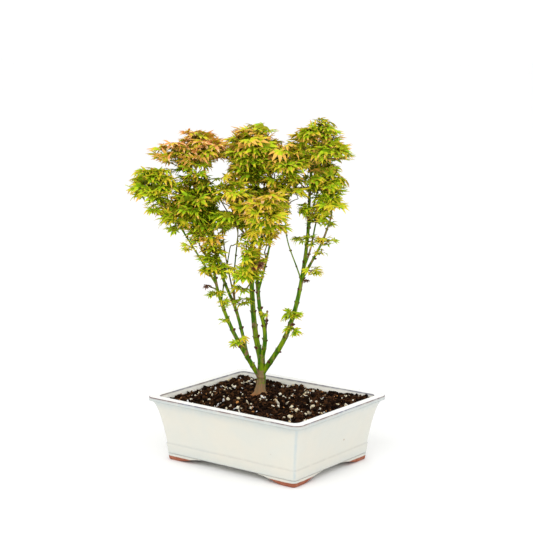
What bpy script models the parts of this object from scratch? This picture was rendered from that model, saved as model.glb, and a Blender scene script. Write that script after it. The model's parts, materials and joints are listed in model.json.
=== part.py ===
"""Potted Japanese maple trained as a small bonsai: several slender stems in a glazed pot.

Units are metres and +Z is up. The origin is on the ground, under the middle of the whole
object's box. The pot's long side lies along X. The plant has its own directions: "across"
is the way its crown is widest, turned PLANT_TURN from the pot's long side, and "depth" is
square to it. A plant point is written (across, depth, height), with across and depth
measured from the trunk's foot and height measured from the ground.
"""
import math
import random
from dataclasses import dataclass

import bmesh
import bpy
import numpy as np
from mathutils.bvhtree import BVHTree

GAP = 0.0003                     # clearance between two pieces that meet

# Pot: a rounded rectangle whose wall sweeps out to a flat rim.
POT_LENGTH = 0.245
POT_WIDTH = 0.199
POT_HEIGHT = 0.0853
POT_FLARE = 0.0193               # how far the rim overhangs the foot of the wall
FLARE_POWER = 0.47               # below 0.5 the wall turns out most just under the lip
POT_CORNER = 0.011
CORNER_EASE = 0.25               # how much the corner's radius shrinks as the wall draws in
LEAST_CORNER = 0.006
LIP_DEPTH = 0.0050
RIM_WIDTH = 0.0110
BAND_HEIGHT = 0.0135             # raised band round the foot of the wall
BAND_STEP = 0.0009
FLOOR_THICKNESS = 0.009
WALL_DRAFT = 0.014               # how far the inside narrows from rim to floor
CORNER_STEPS = 4
WALL_RINGS = 7

# Feet: one bracket under each corner, rising in a curve at both ends.
FOOT_HEIGHT = 0.0088
FOOT_ARM = 0.057
FOOT_BREADTH = 0.010
FOOT_LEAD = 0.038
FOOT_STATIONS = 6
FOOT_TOE = 0.0010                # depth left at the tip of a foot's rising lead
FOOT_BATTER = 0.0007             # how far the foot's outer face draws in towards the ground
LEAD_POWER = 1.2                 # above 1 the stations crowd together at the rising end
CORNER_BITE = 0.9                # how much of the corner's radius the foot fills

# Soil: fills the pot to just under the rim.
SOIL_HEIGHT = 0.0797
SOIL_SAG = 0.0030
SOIL_LUMP = 0.0009
SOIL_RINGS = 4
SOIL_SHOULDER = 0.8              # past this fraction of the way out, the soil is at its edge height
SOIL_SEED = 11

# Plant
PLANT_TURN = math.radians(36.5)
TRUNK_FOOT = (-0.0218, 0.0143)   # on the pot's own X and Y
TRUNK_BENDS = ((0.0, 0.0, 0.084), (0.001, 0.0, 0.106), (0.001, 0.0, 0.131))
TRUNK_ROOT_RADIUS = 0.0074
TRUNK_TOP_RADIUS = 0.0047
ROOT_FLARE = 0.0048
FLARE_RISE = 0.0055
FLARE_LOBES = 5
FLARE_PHASE = 0.6
LOBE_DEPTH = 0.45                # how much of the flare is in its lobes
FLARE_MARKS = (0.0, 0.0015, 0.004, 0.008, 0.014, 0.024, 0.036)
TRUNK_SIDES = 15
STATION = 0.013                  # spacing of the rings along a limb
SAMPLE = 0.0005                  # spacing of the points that a curve is measured by
JOINT_MARGIN = 0.0012            # room that a limb has from its parent where its collar ends

# Leaf: five pointed lobes round the end of the leaf stalk.
LEAF_REACH = 0.027               # from the stalk to the middle lobe's tip
LOW_TILT = -1.4                  # how steeply the lowest leaves of a shoot point down
HIGH_TILT = -0.45
TILT_STRAY = 0.25
TURN_STRAY = 0.25
LEAF_ROLL = 0.8
LEAF_SPREAD = 0.80               # how far out a leaf's joint may be, of the mass's reach
LEAF_TRIALS = 200                # places tried at each leaf scale
SPACE_SWELL = 1.1                # how far leaf tips may pass the mass's reach
LEAVES_A_SHOOT = 4
SHOOT_LIFT = 0.6                 # how far the first shoot rises, for each unit that it runs out
SHOOT_DROP = 0.9                 # how much less the last one rises
SHOOT_REACH = 0.45
SHOOT_SAG = 0.1
SHOOT_STRAY = 0.5
FIRST_SHOOT = 0.65               # place on the stem of the highest shoot
SHOOT_SPAN = 0.3                 # stretch of the stem that carries shoots
LEAF_THICKNESS = 0.0011
LEAF_DROOP = 0.28
LOBE_ANGLES = (0.0, 46.0, 96.0)
LOBE_LENGTHS = (1.0, 0.95, 0.72)
NOTCH_ANGLES = (22.0, 70.0)
NOTCH_LENGTHS = (0.5, 0.44)
STALK_RADIUS = 0.00036
STALK_SINK = 0.0001              # how far a stalk's root is past the middle of its shoot
STEM_RADIUS = 0.0011
STEM_LEAD = 0.0025
STEM_LEAN = 0.5                  # how far a mass's stem leans along the limb that it leaves
STEM_STATIONS = 4
STEM_RISE = 0.45                 # how far a stem passes its mass's centre, of the mass's reach
STEM_SHARE = 0.8                 # stem radius where it leaves a limb's side, of the limb's
SHOOT_RADIUS = 0.0008
SHOOT_TAPER = 0.85
SHOOT_ROOT = 0.4                 # radius at a shoot's root, inside the stem, of its own
SHOOT_MARKS = (0.002, 0.2, 0.6)  # length of its narrow root, most of it, and a later ring
STALK_FACES = 4
STALK_BACK = 0.006               # how far behind its joint a leaf looks for a shoot
SHORTEST_STALK = 0.0022
LONGEST_STALK = 0.022
LEAF_SCALES = (1.15, 1.0, 0.85, 0.7, 0.55)
TWIG_SIDES = 3
SPACE_MARGIN = 0.0002
LIMB_MARGIN = 0.0004
SEED = 240                       # of the first mass; each later one has the next
GOLDEN_ANGLE = math.pi * (3.0 - math.sqrt(5.0))


@dataclass(frozen=True)
class Limb:
    """One tapering stem: it leaves its parent at a height and passes through its bends."""

    name: str
    parent: str
    leaves_at: float
    bends: tuple
    root_radius: float
    tip_radius: float
    sides: int = 6


@dataclass(frozen=True)
class Mass:
    """One mass of foliage: the space it fills and the limb that its stem grows from."""

    name: str
    limb: str
    grows_at: float              # height on the limb, or TIP
    centre: tuple
    reach: tuple
    leaves: int
    tint: str
    leaf_size: float = 1.0


TIP = math.inf

LIMBS = (
    Limb("left_outer_stem", "trunk", 0.100, (
        (-0.015, -0.006, 0.128), (-0.037, -0.014, 0.171), (-0.056, -0.022, 0.229),
        (-0.059, -0.024, 0.248)), 0.0034, 0.0017),
    Limb("left_inner_stem", "left_outer_stem", 0.131, (
        (-0.020, -0.005, 0.146), (-0.031, 0.002, 0.189), (-0.051, 0.013, 0.238),
        (-0.067, 0.023, 0.320), (-0.073, 0.016, 0.375)), 0.0024, 0.0013),
    Limb("far_left_stem", "left_outer_stem", 0.230, (
        (-0.074, -0.023, 0.260), (-0.102, -0.019, 0.304)), 0.0013, 0.0009),
    Limb("left_whip", "left_outer_stem", 0.206, (
        (-0.048, -0.015, 0.224), (-0.040, -0.008, 0.272)), 0.0010, 0.0007),
    Limb("inner_whip", "left_inner_stem", 0.193, (
        (-0.034, -0.002, 0.213), (-0.034, -0.006, 0.238), (-0.029, -0.018, 0.291)),
        0.0011, 0.0008),
    Limb("centre_stem", "trunk", 0.122, (
        (-0.006, 0.005, 0.156), (-0.011, 0.012, 0.206), (-0.010, 0.021, 0.309),
        (-0.008, 0.016, 0.362)), 0.0036, 0.0016, 7),
    Limb("middle_stem", "trunk", 0.122, (
        (0.006, -0.009, 0.160), (-0.002, -0.012, 0.212), (-0.004, -0.006, 0.258),
        (0.018, 0.003, 0.330), (0.028, -0.006, 0.363)), 0.0027, 0.0013),
    Limb("front_stem", "middle_stem", 0.219, (
        (0.007, -0.031, 0.259), (0.016, -0.053, 0.302)), 0.0017, 0.0011),
    Limb("dead_stub", "middle_stem", 0.152, (
        (0.008, -0.012, 0.172), (0.009, -0.015, 0.194)), 0.0016, 0.0012),
    Limb("right_stem", "trunk", 0.107, (
        (0.013, -0.003, 0.128), (0.029, -0.008, 0.155), (0.043, -0.010, 0.191),
        (0.054, -0.004, 0.238), (0.061, 0.006, 0.290), (0.064, 0.005, 0.357),
        (0.068, 0.001, 0.400)), 0.0034, 0.0013),
    Limb("slender_stem", "right_stem", 0.233, (
        (0.048, -0.006, 0.248), (0.034, -0.009, 0.291), (0.032, -0.010, 0.314)),
        0.0010, 0.0007),
    Limb("right_twin_stem", "right_stem", 0.246, (
        (0.064, -0.003, 0.272), (0.071, 0.007, 0.304)), 0.0014, 0.0010),
    Limb("right_outer_stem", "right_stem", 0.234, (
        (0.064, -0.012, 0.255), (0.080, -0.017, 0.287), (0.089, -0.016, 0.312)),
        0.0019, 0.0012),
    Limb("back_left_stem", "left_inner_stem", 0.269, (
        (-0.064, 0.028, 0.287), (-0.073, 0.056, 0.341), (-0.075, 0.064, 0.368)),
        0.0014, 0.0010),
    Limb("back_centre_stem", "centre_stem", 0.220, (
        (-0.011, 0.038, 0.274), (-0.008, 0.060, 0.325), (-0.010, 0.067, 0.352)),
        0.0018, 0.0011),
    Limb("back_right_stem", "right_stem", 0.258, (
        (0.062, 0.028, 0.291), (0.074, 0.055, 0.341), (0.079, 0.062, 0.357)),
        0.0015, 0.0010),
)

MASSES = (
    Mass("foliage_left_top", "left_inner_stem", TIP, (-0.079, 0.008, 0.405),
         (0.033, 0.034, 0.028), 12, "rose"),
    Mass("foliage_left_shoulder", "left_inner_stem", 0.350, (-0.110, -0.002, 0.396),
         (0.029, 0.028, 0.020), 7, "rose"),
    Mass("foliage_far_left", "far_left_stem", TIP, (-0.137, -0.018, 0.358),
         (0.031, 0.030, 0.027), 10, "green"),
    Mass("foliage_left_low", "far_left_stem", 0.294, (-0.106, -0.010, 0.321),
         (0.026, 0.030, 0.026), 8, "green"),
    Mass("foliage_left_heart", "left_inner_stem", 0.285, (-0.080, -0.008, 0.339),
         (0.032, 0.034, 0.043), 16, "deep"),
    Mass("foliage_left_column", "left_outer_stem", TIP, (-0.057, -0.026, 0.267),
         (0.023, 0.024, 0.039), 9, "deep"),
    Mass("foliage_centre_top", "centre_stem", TIP, (-0.011, 0.004, 0.404),
         (0.039, 0.036, 0.040), 21, "amber"),
    Mass("foliage_heart", "centre_stem", 0.318, (0.004, 0.026, 0.343),
         (0.026, 0.028, 0.024), 6, "deep"),
    Mass("foliage_centre_left", "inner_whip", TIP, (-0.033, -0.028, 0.338),
         (0.029, 0.028, 0.038), 11, "green"),
    Mass("foliage_front", "front_stem", TIP, (0.010, -0.058, 0.329),
         (0.032, 0.032, 0.031), 11, "straw"),
    Mass("foliage_front_skirt", "middle_stem", 0.258, (-0.017, -0.044, 0.269),
         (0.023, 0.026, 0.040), 10, "straw"),
    Mass("foliage_middle_top", "middle_stem", TIP, (0.033, -0.012, 0.388),
         (0.030, 0.032, 0.026), 10, "amber"),
    Mass("foliage_middle_right", "slender_stem", TIP, (0.037, -0.008, 0.349),
         (0.026, 0.027, 0.031), 7, "lime"),
    Mass("foliage_right_top", "right_stem", TIP, (0.077, 0.000, 0.425),
         (0.029, 0.031, 0.022), 9, "amber"),
    Mass("foliage_right_shoulder", "right_stem", 0.352, (0.090, -0.010, 0.401),
         (0.028, 0.030, 0.019), 7, "amber"),
    Mass("foliage_right_left", "right_stem", 0.368, (0.052, 0.014, 0.404),
         (0.025, 0.026, 0.022), 5, "lime"),
    Mass("foliage_right_mid", "right_stem", 0.342, (0.085, 0.006, 0.357),
         (0.026, 0.030, 0.024), 7, "green"),
    Mass("foliage_right_low", "right_outer_stem", TIP, (0.091, -0.012, 0.332),
         (0.021, 0.026, 0.021), 5, "lime"),
    Mass("foliage_right_inner", "right_stem", 0.312, (0.049, -0.008, 0.328),
         (0.016, 0.022, 0.023), 3, "deep"),
    Mass("foliage_right_twin", "right_twin_stem", TIP, (0.076, 0.014, 0.322),
         (0.018, 0.024, 0.023), 3, "green"),
    Mass("foliage_back_left", "back_left_stem", TIP, (-0.078, 0.072, 0.395),
         (0.034, 0.032, 0.028), 11, "rose"),
    Mass("foliage_back_left_low", "back_left_stem", 0.310, (-0.086, 0.056, 0.332),
         (0.028, 0.030, 0.030), 9, "green"),
    Mass("foliage_back_centre", "back_centre_stem", TIP, (-0.013, 0.076, 0.388),
         (0.037, 0.032, 0.033), 14, "amber"),
    Mass("foliage_back_middle", "back_centre_stem", 0.292, (0.020, 0.070, 0.330),
         (0.030, 0.030, 0.027), 9, "lime"),
    Mass("foliage_back_column", "back_centre_stem", 0.270, (-0.032, 0.056, 0.306),
         (0.026, 0.028, 0.032), 9, "deep"),
    Mass("foliage_back_right", "back_right_stem", TIP, (0.084, 0.068, 0.386),
         (0.034, 0.032, 0.031), 12, "amber"),
    Mass("sprig_left", "far_left_stem", 0.262, (-0.093, -0.026, 0.280),
         (0.012, 0.012, 0.009), 3, "lime", 0.42),
    Mass("tuft_left", "left_outer_stem", 0.204, (-0.058, -0.030, 0.220),
         (0.013, 0.012, 0.011), 3, "green", 0.50),
    Mass("tuft_left_fork", "left_inner_stem", 0.150, (-0.026, -0.018, 0.158),
         (0.017, 0.013, 0.014), 3, "lime", 0.50),
    Mass("tuft_centre", "centre_stem", 0.196, (-0.020, 0.002, 0.202),
         (0.013, 0.012, 0.012), 3, "lime", 0.45),
    Mass("tuft_right_upper", "right_stem", 0.186, (0.037, -0.021, 0.193),
         (0.016, 0.013, 0.012), 3, "lime", 0.55),
    Mass("tuft_right_lower", "right_stem", 0.160, (0.044, -0.020, 0.170),
         (0.019, 0.013, 0.011), 3, "lime", 0.55),
    Mass("tuft_right_fork", "right_outer_stem", 0.250, (0.069, -0.026, 0.245),
         (0.016, 0.013, 0.013), 3, "green", 0.50),
    Mass("tuft_crossing", "right_stem", 0.278, (0.064, -0.008, 0.287),
         (0.016, 0.012, 0.010), 3, "green", 0.50),
    Mass("tuft_whip", "left_whip", TIP, (-0.034, -0.010, 0.287),
         (0.013, 0.012, 0.009), 3, "pale", 0.50),
)

LEAF_TINTS = {
    "rose": (0.62, 0.27, 0.11),
    "amber": (0.46, 0.30, 0.05),
    "straw": (0.52, 0.42, 0.07),
    "lime": (0.33, 0.42, 0.03),
    "green": (0.17, 0.29, 0.02),
    "deep": (0.07, 0.15, 0.01),
    "pale": (0.66, 0.72, 0.20),
}


# Scene and mesh helpers -------------------------------------------------------------------

def clear_scene():
    """Remove every object of the scene."""
    for thing in list(bpy.data.objects):
        bpy.data.objects.remove(thing, do_unlink=True)


def finish_material(name, colour, roughness, metallic=0.0):
    """Return a Principled material of one colour."""
    material = bpy.data.materials.new(name)
    material.use_nodes = True
    shader = material.node_tree.nodes["Principled BSDF"]
    shader.inputs["Base Color"].default_value = (*colour, 1.0)
    shader.inputs["Roughness"].default_value = roughness
    shader.inputs["Metallic"].default_value = metallic
    return material


def mesh_object(name, vertices, faces, material=None):
    """Make an object from vertices and faces, with its faces turned outwards."""
    mesh = bpy.data.meshes.new(name)
    mesh.from_pydata([tuple(v) for v in vertices], [], [tuple(f) for f in faces])
    shape = bmesh.new()
    shape.from_mesh(mesh)
    bmesh.ops.recalc_face_normals(shape, faces=shape.faces)
    shape.to_mesh(mesh)
    shape.free()
    if material:
        mesh.materials.append(material)
    thing = bpy.data.objects.new(name, mesh)
    bpy.context.scene.collection.objects.link(thing)
    return thing


def keep_main_shell(mesh):
    """Keep the shell with most faces, which fills sealed hollows and drops loose scraps."""
    shape = bmesh.new()
    shape.from_mesh(mesh)
    unseen = set(shape.faces)
    shells = []
    while unseen:
        first = unseen.pop()
        shell = [first]
        for face in shell:
            beside = {other for edge in face.edges for other in edge.link_faces} & unseen
            unseen -= beside
            shell.extend(beside)
        shells.append(shell)
    shells.sort(key=len)
    stray = [face for shell in shells[:-1] for face in shell]
    bmesh.ops.delete(shape, geom=stray, context="FACES")
    shape.to_mesh(mesh)
    shape.free()


def fuse(name, solids, material, solver="EXACT"):
    """Join (vertices, faces) solids into one closed object by one Boolean union."""
    fused = mesh_object(name, *solids[0], material)
    if len(solids) == 1:
        return fused
    others = bpy.data.collections.new(name + "_parts")
    bpy.context.scene.collection.children.link(others)
    for number, (vertices, faces) in enumerate(solids[1:]):
        piece = mesh_object(f"{name}_part_{number}", vertices, faces)
        bpy.context.scene.collection.objects.unlink(piece)
        others.objects.link(piece)
    union = fused.modifiers.new("union", "BOOLEAN")
    union.operation = "UNION"
    union.operand_type = "COLLECTION"
    union.collection = others
    union.solver = solver
    graph = bpy.context.evaluated_depsgraph_get()
    joined = bpy.data.meshes.new_from_object(fused.evaluated_get(graph))
    fused.modifiers.clear()
    fused.data = joined
    keep_main_shell(joined)
    for piece in list(others.objects):
        bpy.data.objects.remove(piece, do_unlink=True)
    bpy.data.collections.remove(others)
    joined.materials.clear()
    joined.materials.append(material)
    return fused


def loft(rings):
    """Skin equal rings of points into a closed solid, with a flat cap at each end."""
    count = len(rings[0])
    vertices = [point for ring in rings for point in ring]
    faces = []
    for row in range(len(rings) - 1):
        for column in range(count):
            after = (column + 1) % count
            low, high = row * count, (row + 1) * count
            faces.append((low + column, low + after, high + after, high + column))
    faces.append(tuple(reversed(range(count))))
    faces.append(tuple(range(len(vertices) - count, len(vertices))))
    return vertices, faces


# Pot, feet and soil ------------------------------------------------------------------------

def rounded_rectangle(length, width, corner, height):
    """Return one ring of points round a rectangle with rounded corners."""
    ring = []
    for quarter in range(4):
        side_x = 1 if quarter in (0, 3) else -1
        side_y = 1 if quarter in (0, 1) else -1
        for step in range(CORNER_STEPS + 1):
            angle = math.radians(90.0 * (quarter + step / CORNER_STEPS))
            x = side_x * (length / 2 - corner) + corner * math.cos(angle)
            y = side_y * (width / 2 - corner) + corner * math.sin(angle)
            ring.append((x, y, height))
    return ring


def corner_radius(inset):
    """Return the radius of the pot's corner where the outline is drawn in by an inset."""
    return max(POT_CORNER - inset * CORNER_EASE, LEAST_CORNER)


def pot_ring(inset, height):
    """Return the pot's outline at a height, drawn in from the rim by an inset."""
    return rounded_rectangle(POT_LENGTH - 2 * inset, POT_WIDTH - 2 * inset,
                             corner_radius(inset), height)


def wall_inset(height):
    """Return how far the outer wall stands in from the rim: a power curve under the lip."""
    top = POT_HEIGHT - LIP_DEPTH
    down = (top - height) / (top - FOOT_HEIGHT)
    return POT_FLARE * max(down, 0.0) ** FLARE_POWER


def inner_inset(height):
    """Return how far the inner wall stands in from the rim's outer edge."""
    down = (POT_HEIGHT - height) / (POT_HEIGHT - FOOT_HEIGHT - FLOOR_THICKNESS)
    return RIM_WIDTH + WALL_DRAFT * down


def make_pot():
    """Loft the pot: band, flared wall, lip, flat rim, and the inside down to its floor."""
    band_top = FOOT_HEIGHT + BAND_HEIGHT
    lip_under = POT_HEIGHT - LIP_DEPTH
    rings = [pot_ring(wall_inset(FOOT_HEIGHT) - BAND_STEP, FOOT_HEIGHT),
             pot_ring(wall_inset(band_top) - BAND_STEP, band_top - BAND_STEP)]
    for step in range(WALL_RINGS + 1):
        height = band_top + (lip_under - band_top) * math.sin(0.5 * math.pi * step / WALL_RINGS)
        rings.append(pot_ring(wall_inset(height), height))
    rings.append(pot_ring(0.0, POT_HEIGHT))
    rings.append(pot_ring(RIM_WIDTH, POT_HEIGHT))
    floor = FOOT_HEIGHT + FLOOR_THICKNESS
    for height in (0.5 * (POT_HEIGHT + floor), floor):
        rings.append(pot_ring(inner_inset(height), height))
    glaze = finish_material("cream_glaze", (0.80, 0.79, 0.72), 0.25)
    return mesh_object("pot", *loft(rings), glaze)


def foot_path():
    """Return the foot's outer edge: (point, outward normal, arm position 0 to 1) round a corner."""
    inset = wall_inset(FOOT_HEIGHT) - BAND_STEP
    half_x = POT_LENGTH / 2 - inset
    half_y = POT_WIDTH / 2 - inset
    corner = corner_radius(inset)
    stations = []
    for step in range(FOOT_STATIONS + 1):
        along = FOOT_ARM - (FOOT_ARM - corner) * lead_step(step)
        stations.append(((half_x - along, half_y), (0.0, 1.0), along))
    for step in range(1, CORNER_STEPS):
        angle = math.radians(90.0 - 90.0 * step / CORNER_STEPS)
        normal = (math.cos(angle), math.sin(angle))
        point = (half_x - corner + corner * normal[0], half_y - corner + corner * normal[1])
        stations.append((point, normal, corner))
    for step in range(FOOT_STATIONS + 1):
        along = corner + (FOOT_ARM - corner) * (1.0 - lead_step(FOOT_STATIONS - step))
        stations.append(((half_x, half_y - along), (1.0, 0.0), along))
    return stations


def lead_step(step):
    """Return the fraction of an arm passed at a station, closest together at its rising end."""
    return (step / FOOT_STATIONS) ** LEAD_POWER


def make_foot(name, flip_x, flip_y, clay):
    """Sweep one bracket foot round a corner; its underside curves up at each free end."""
    top = FOOT_HEIGHT - GAP
    corner = corner_radius(wall_inset(FOOT_HEIGHT) - BAND_STEP)
    rings = []
    for (x, y), (normal_x, normal_y), along in foot_path():
        free = min((FOOT_ARM - along) / FOOT_LEAD, 1.0)
        rise = (top - FOOT_TOE) * (1.0 - free * free * (3.0 - 2.0 * free))
        across = [(0.0, top), (FOOT_BATTER, rise), (FOOT_BREADTH, rise), (FOOT_BREADTH, top)]
        if along <= corner:
            bite = corner * CORNER_BITE / FOOT_BREADTH
            across = [(inset * bite, height) for inset, height in across]
        ring = [(flip_x * (x - normal_x * inset), flip_y * (y - normal_y * inset), height)
                for inset, height in across]
        rings.append(ring)
    return mesh_object(name, *loft(rings), clay)


def make_feet():
    """Make the four corner feet."""
    clay = finish_material("bare_clay", (0.45, 0.20, 0.09), 0.85)
    sides = {"back_right": (1, 1), "back_left": (-1, 1), "front_right": (1, -1),
             "front_left": (-1, -1)}
    return [make_foot(f"foot_{name}", *flips, clay) for name, flips in sides.items()]


def make_soil():
    """Fill the pot with soil whose lumpy top sags a little towards the rim."""
    lumps = random.Random(SOIL_SEED)
    floor = FOOT_HEIGHT + FLOOR_THICKNESS + GAP
    edge_height = SOIL_HEIGHT - SOIL_SAG
    middle = 0.5 * (edge_height + floor)
    rings = [pot_ring(inner_inset(height) + GAP * 1.5, height)
             for height in (floor, middle, edge_height)]
    foot_x, foot_y = TRUNK_FOOT
    for step in range(1, SOIL_RINGS + 1):
        shrink = 1.0 - step / (SOIL_RINGS + 1)
        ring = []
        for x, y, height in rings[2]:
            lump = lumps.uniform(-SOIL_LUMP, 0.0)
            rise = SOIL_SAG * (1.0 - min(shrink / SOIL_SHOULDER, 1.0) ** 2) + lump
            if step == SOIL_RINGS:
                rise = SOIL_SAG
            ring.append((foot_x + (x - foot_x) * shrink, foot_y + (y - foot_y) * shrink,
                         height + rise))
        rings.append(ring)
    peat = finish_material("peat_soil", (0.045, 0.022, 0.013), 0.95)
    return mesh_object("soil", *loft(rings), peat)


# Limbs -------------------------------------------------------------------------------------

def plant_point(across, depth, height):
    """Turn a plant point (across, depth, height) into the pot's X, Y and Z."""
    cosine, sine = math.cos(PLANT_TURN), math.sin(PLANT_TURN)
    return np.array((TRUNK_FOOT[0] + across * cosine - depth * sine,
                     TRUNK_FOOT[1] + across * sine + depth * cosine, height))


class Curve:
    """A smooth curve through given points, read by its length, with a tapering radius."""

    def __init__(self, points, root_radius, tip_radius):
        """Sample a Hermite curve finely and measure the length along it.

        Its slope at a point leans to that of the shorter chord beside it.
        """
        points = np.asarray(points, float)
        chords = np.linalg.norm(np.diff(points, axis=0), axis=1)[:, None]
        slopes = np.diff(points, axis=0) / chords
        inner = (chords[1:] * slopes[:-1] + chords[:-1] * slopes[1:]) / (chords[1:] + chords[:-1])
        slopes = np.concatenate((slopes[:1], inner, slopes[-1:]))
        samples = []
        for number, chord in enumerate(chords[:, 0]):
            t = np.linspace(0.0, 1.0, max(2, int(chord / SAMPLE)), endpoint=False)[:, None]
            ease = t * t * (3.0 - 2.0 * t)
            samples.append(points[number] * (1.0 - ease) + points[number + 1] * ease
                           + slopes[number] * chord * t * (1.0 - t) ** 2
                           - slopes[number + 1] * chord * t ** 2 * (1.0 - t))
        samples.append(points[-1:])
        self.samples = np.concatenate(samples)
        steps = np.linalg.norm(np.diff(self.samples, axis=0), axis=1)
        self.marks = np.concatenate(([0.0], np.cumsum(steps)))
        self.length = self.marks[-1]
        self.root_radius = root_radius
        self.tip_radius = tip_radius

    def point(self, along):
        """Return the point at a length along the curve."""
        return np.array([np.interp(along, self.marks, self.samples[:, axis])
                         for axis in range(3)])

    def tangent(self, along):
        """Return the unit direction at a length along the curve."""
        step = 2 * SAMPLE
        start = self.point(max(along - step, 0.0))
        stop = self.point(min(along + step, self.length))
        return unit(stop - start)

    def radius(self, along):
        """Return the radius at a length along the curve."""
        return self.root_radius + (self.tip_radius - self.root_radius) * along / self.length

    def at_height(self, height):
        """Return the length along the curve at which it first reaches a height."""
        return float(self.marks[np.argmax(self.samples[:, 2] >= height)])

    def clear_after(self, other):
        """Return the length along this curve past which it stays clear of another curve."""
        offsets = self.samples[:, None, :] - other.samples[None, ::3, :]
        distance = np.linalg.norm(offsets, axis=2)
        room = distance - self.radius(self.marks)[:, None] - other.radius(other.marks[::3])
        touching = np.nonzero(room.min(axis=1) < JOINT_MARGIN)[0]
        return float(self.marks[touching[-1]]) if len(touching) else 0.0


def unit(vector):
    """Return a vector at length 1."""
    return np.asarray(vector, float) / np.linalg.norm(vector)


def side_frame(direction):
    """Return two unit vectors square to a direction, the second as level as it can be."""
    helper = np.array((0.0, 0.0, 1.0)) if abs(direction[2]) < 0.9 else np.array((1.0, 0.0, 0.0))
    first = unit(np.cross(direction, helper))
    return first, np.cross(direction, first)


def sweep(curve, marks, radii, sides):
    """Sweep a polygon along a curve; radii holds one value, or one row of values, a mark."""
    first, _ = side_frame(curve.tangent(marks[0]))
    angles = 2 * math.pi * np.arange(sides) / sides
    rings = []
    for mark, radius in zip(marks, radii):
        tangent = curve.tangent(mark)
        first = unit(first - tangent * np.dot(first, tangent))
        second = np.cross(tangent, first)
        circle = np.outer(np.cos(angles), first) + np.outer(np.sin(angles), second)
        ring = curve.point(mark) + circle * np.reshape(radius, (-1, 1))
        rings.append([tuple(vertex) for vertex in ring])
    return loft(rings)


def limb_tube(curve, start, stop, sides, swell=0.0):
    """Sweep the stretch of a limb between two lengths along its curve."""
    count = max(2, math.ceil((stop - start) / STATION) + 1)
    marks = np.linspace(start, stop, count)
    return sweep(curve, marks, [curve.radius(mark) + swell for mark in marks], sides)


def stem_tube(curve, swell=0.0):
    """Sweep the stem of a mass, which stands square to its limb over a short lead."""
    marks = [0.0, *np.linspace(STEM_LEAD, curve.length, STEM_STATIONS)]
    return sweep(curve, marks, [curve.radius(mark) + swell for mark in marks], TWIG_SIDES)


def shoot_tube(curve):
    """Sweep a side shoot, narrow at its root so that it starts inside the stem."""
    narrow, most, later = SHOOT_MARKS
    marks = [0.0, min(narrow, most * curve.length), later * curve.length, curve.length]
    radii = [curve.radius(0.0) * SHOOT_ROOT, *(curve.radius(mark) for mark in marks[1:])]
    return sweep(curve, marks, radii, TWIG_SIDES)


def trunk_curve():
    """Return the trunk's centre line, from the soil to the fork."""
    foot = plant_point(0.0, 0.0, SOIL_HEIGHT + GAP)
    bends = [plant_point(*bend) for bend in TRUNK_BENDS]
    return Curve([foot, *bends], TRUNK_ROOT_RADIUS, TRUNK_TOP_RADIUS)


def trunk_solid(curve):
    """Sweep the trunk, with roots that spread it in lobes at the flat cut in the soil."""
    marks = [*FLARE_MARKS, curve.length]
    angles = 2 * math.pi * np.arange(TRUNK_SIDES) / TRUNK_SIDES
    lobes = 1.0 - LOBE_DEPTH + LOBE_DEPTH * np.cos(FLARE_LOBES * angles + FLARE_PHASE)
    radii = [curve.radius(mark) + ROOT_FLARE * math.exp(-mark / FLARE_RISE) * lobes
             for mark in marks]
    return sweep(curve, marks, radii, TRUNK_SIDES)


def limb_curves():
    """Return every limb's curve by name, each starting on its parent's centre line."""
    curves = {"trunk": trunk_curve()}
    for limb in LIMBS:
        parent = curves[limb.parent]
        root = parent.point(parent.at_height(limb.leaves_at))
        bends = [plant_point(*bend) for bend in limb.bends]
        curves[limb.name] = Curve([root, *bends], limb.root_radius, limb.tip_radius)
    return curves


def joint_marks(curves):
    """Return where each limb is parted from the collar that its parent carries."""
    marks = {"trunk": 0.0}
    for limb in LIMBS:
        family = [limb.parent] + [other.name for other in LIMBS
                                  if other.parent == limb.parent and other is not limb]
        marks[limb.name] = max(curves[limb.name].clear_after(curves[name]) for name in family)
    return marks


def make_limbs(curves, marks):
    """Make the trunk and every limb, each fused with the collars of the limbs it carries."""
    bark = finish_material("green_bark", (0.23, 0.27, 0.08), 0.7)
    wood = finish_material("tan_bark", (0.36, 0.22, 0.10), 0.8)
    dead = finish_material("dead_wood", (0.20, 0.12, 0.08), 0.9)
    own = {"trunk": trunk_solid(curves["trunk"])}
    sides = {limb.name: limb.sides for limb in LIMBS}
    for limb in LIMBS:
        curve = curves[limb.name]
        own[limb.name] = limb_tube(curve, marks[limb.name] + GAP, curve.length, limb.sides)
    made = []
    for name, solid in own.items():
        collars = [limb_tube(curves[limb.name], 0.0, marks[limb.name], sides[limb.name])
                   for limb in LIMBS if limb.parent == name]
        finish = {"trunk": wood, "dead_stub": dead}.get(name, bark)
        made.append(fuse(name, [solid, *collars], finish))
    return made


# Foliage -----------------------------------------------------------------------------------

class Space:
    """The convex space that a mass keeps to: its ellipsoid, parted from its neighbours'."""

    def __init__(self, mass, masses):
        """Set a dividing plane against each other mass, by their reach towards each other."""
        self.centre = plant_point(*mass.centre)
        self.reach = np.asarray(mass.reach)
        self.normals = []
        self.limits = []
        for other in masses:
            if other is mass:
                continue
            between = np.subtract(other.centre, mass.centre)
            distance = np.linalg.norm(between)
            direction = between / distance
            mine = 1.0 / np.linalg.norm(direction / mass.reach)
            theirs = 1.0 / np.linalg.norm(direction / np.asarray(other.reach))
            self.normals.append(direction)
            self.limits.append(max(distance * mine / (mine + theirs), distance - theirs)
                               - SPACE_MARGIN)
        self.normals = np.array(self.normals)
        self.limits = np.array(self.limits)

    def holds(self, points):
        """Tell whether every point is inside the space."""
        local = (np.asarray(points) - self.centre) @ plant_axes()
        if np.max(np.linalg.norm(local / self.reach, axis=1)) > SPACE_SWELL:
            return False
        return bool(np.all(local @ self.normals.T <= self.limits))


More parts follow.
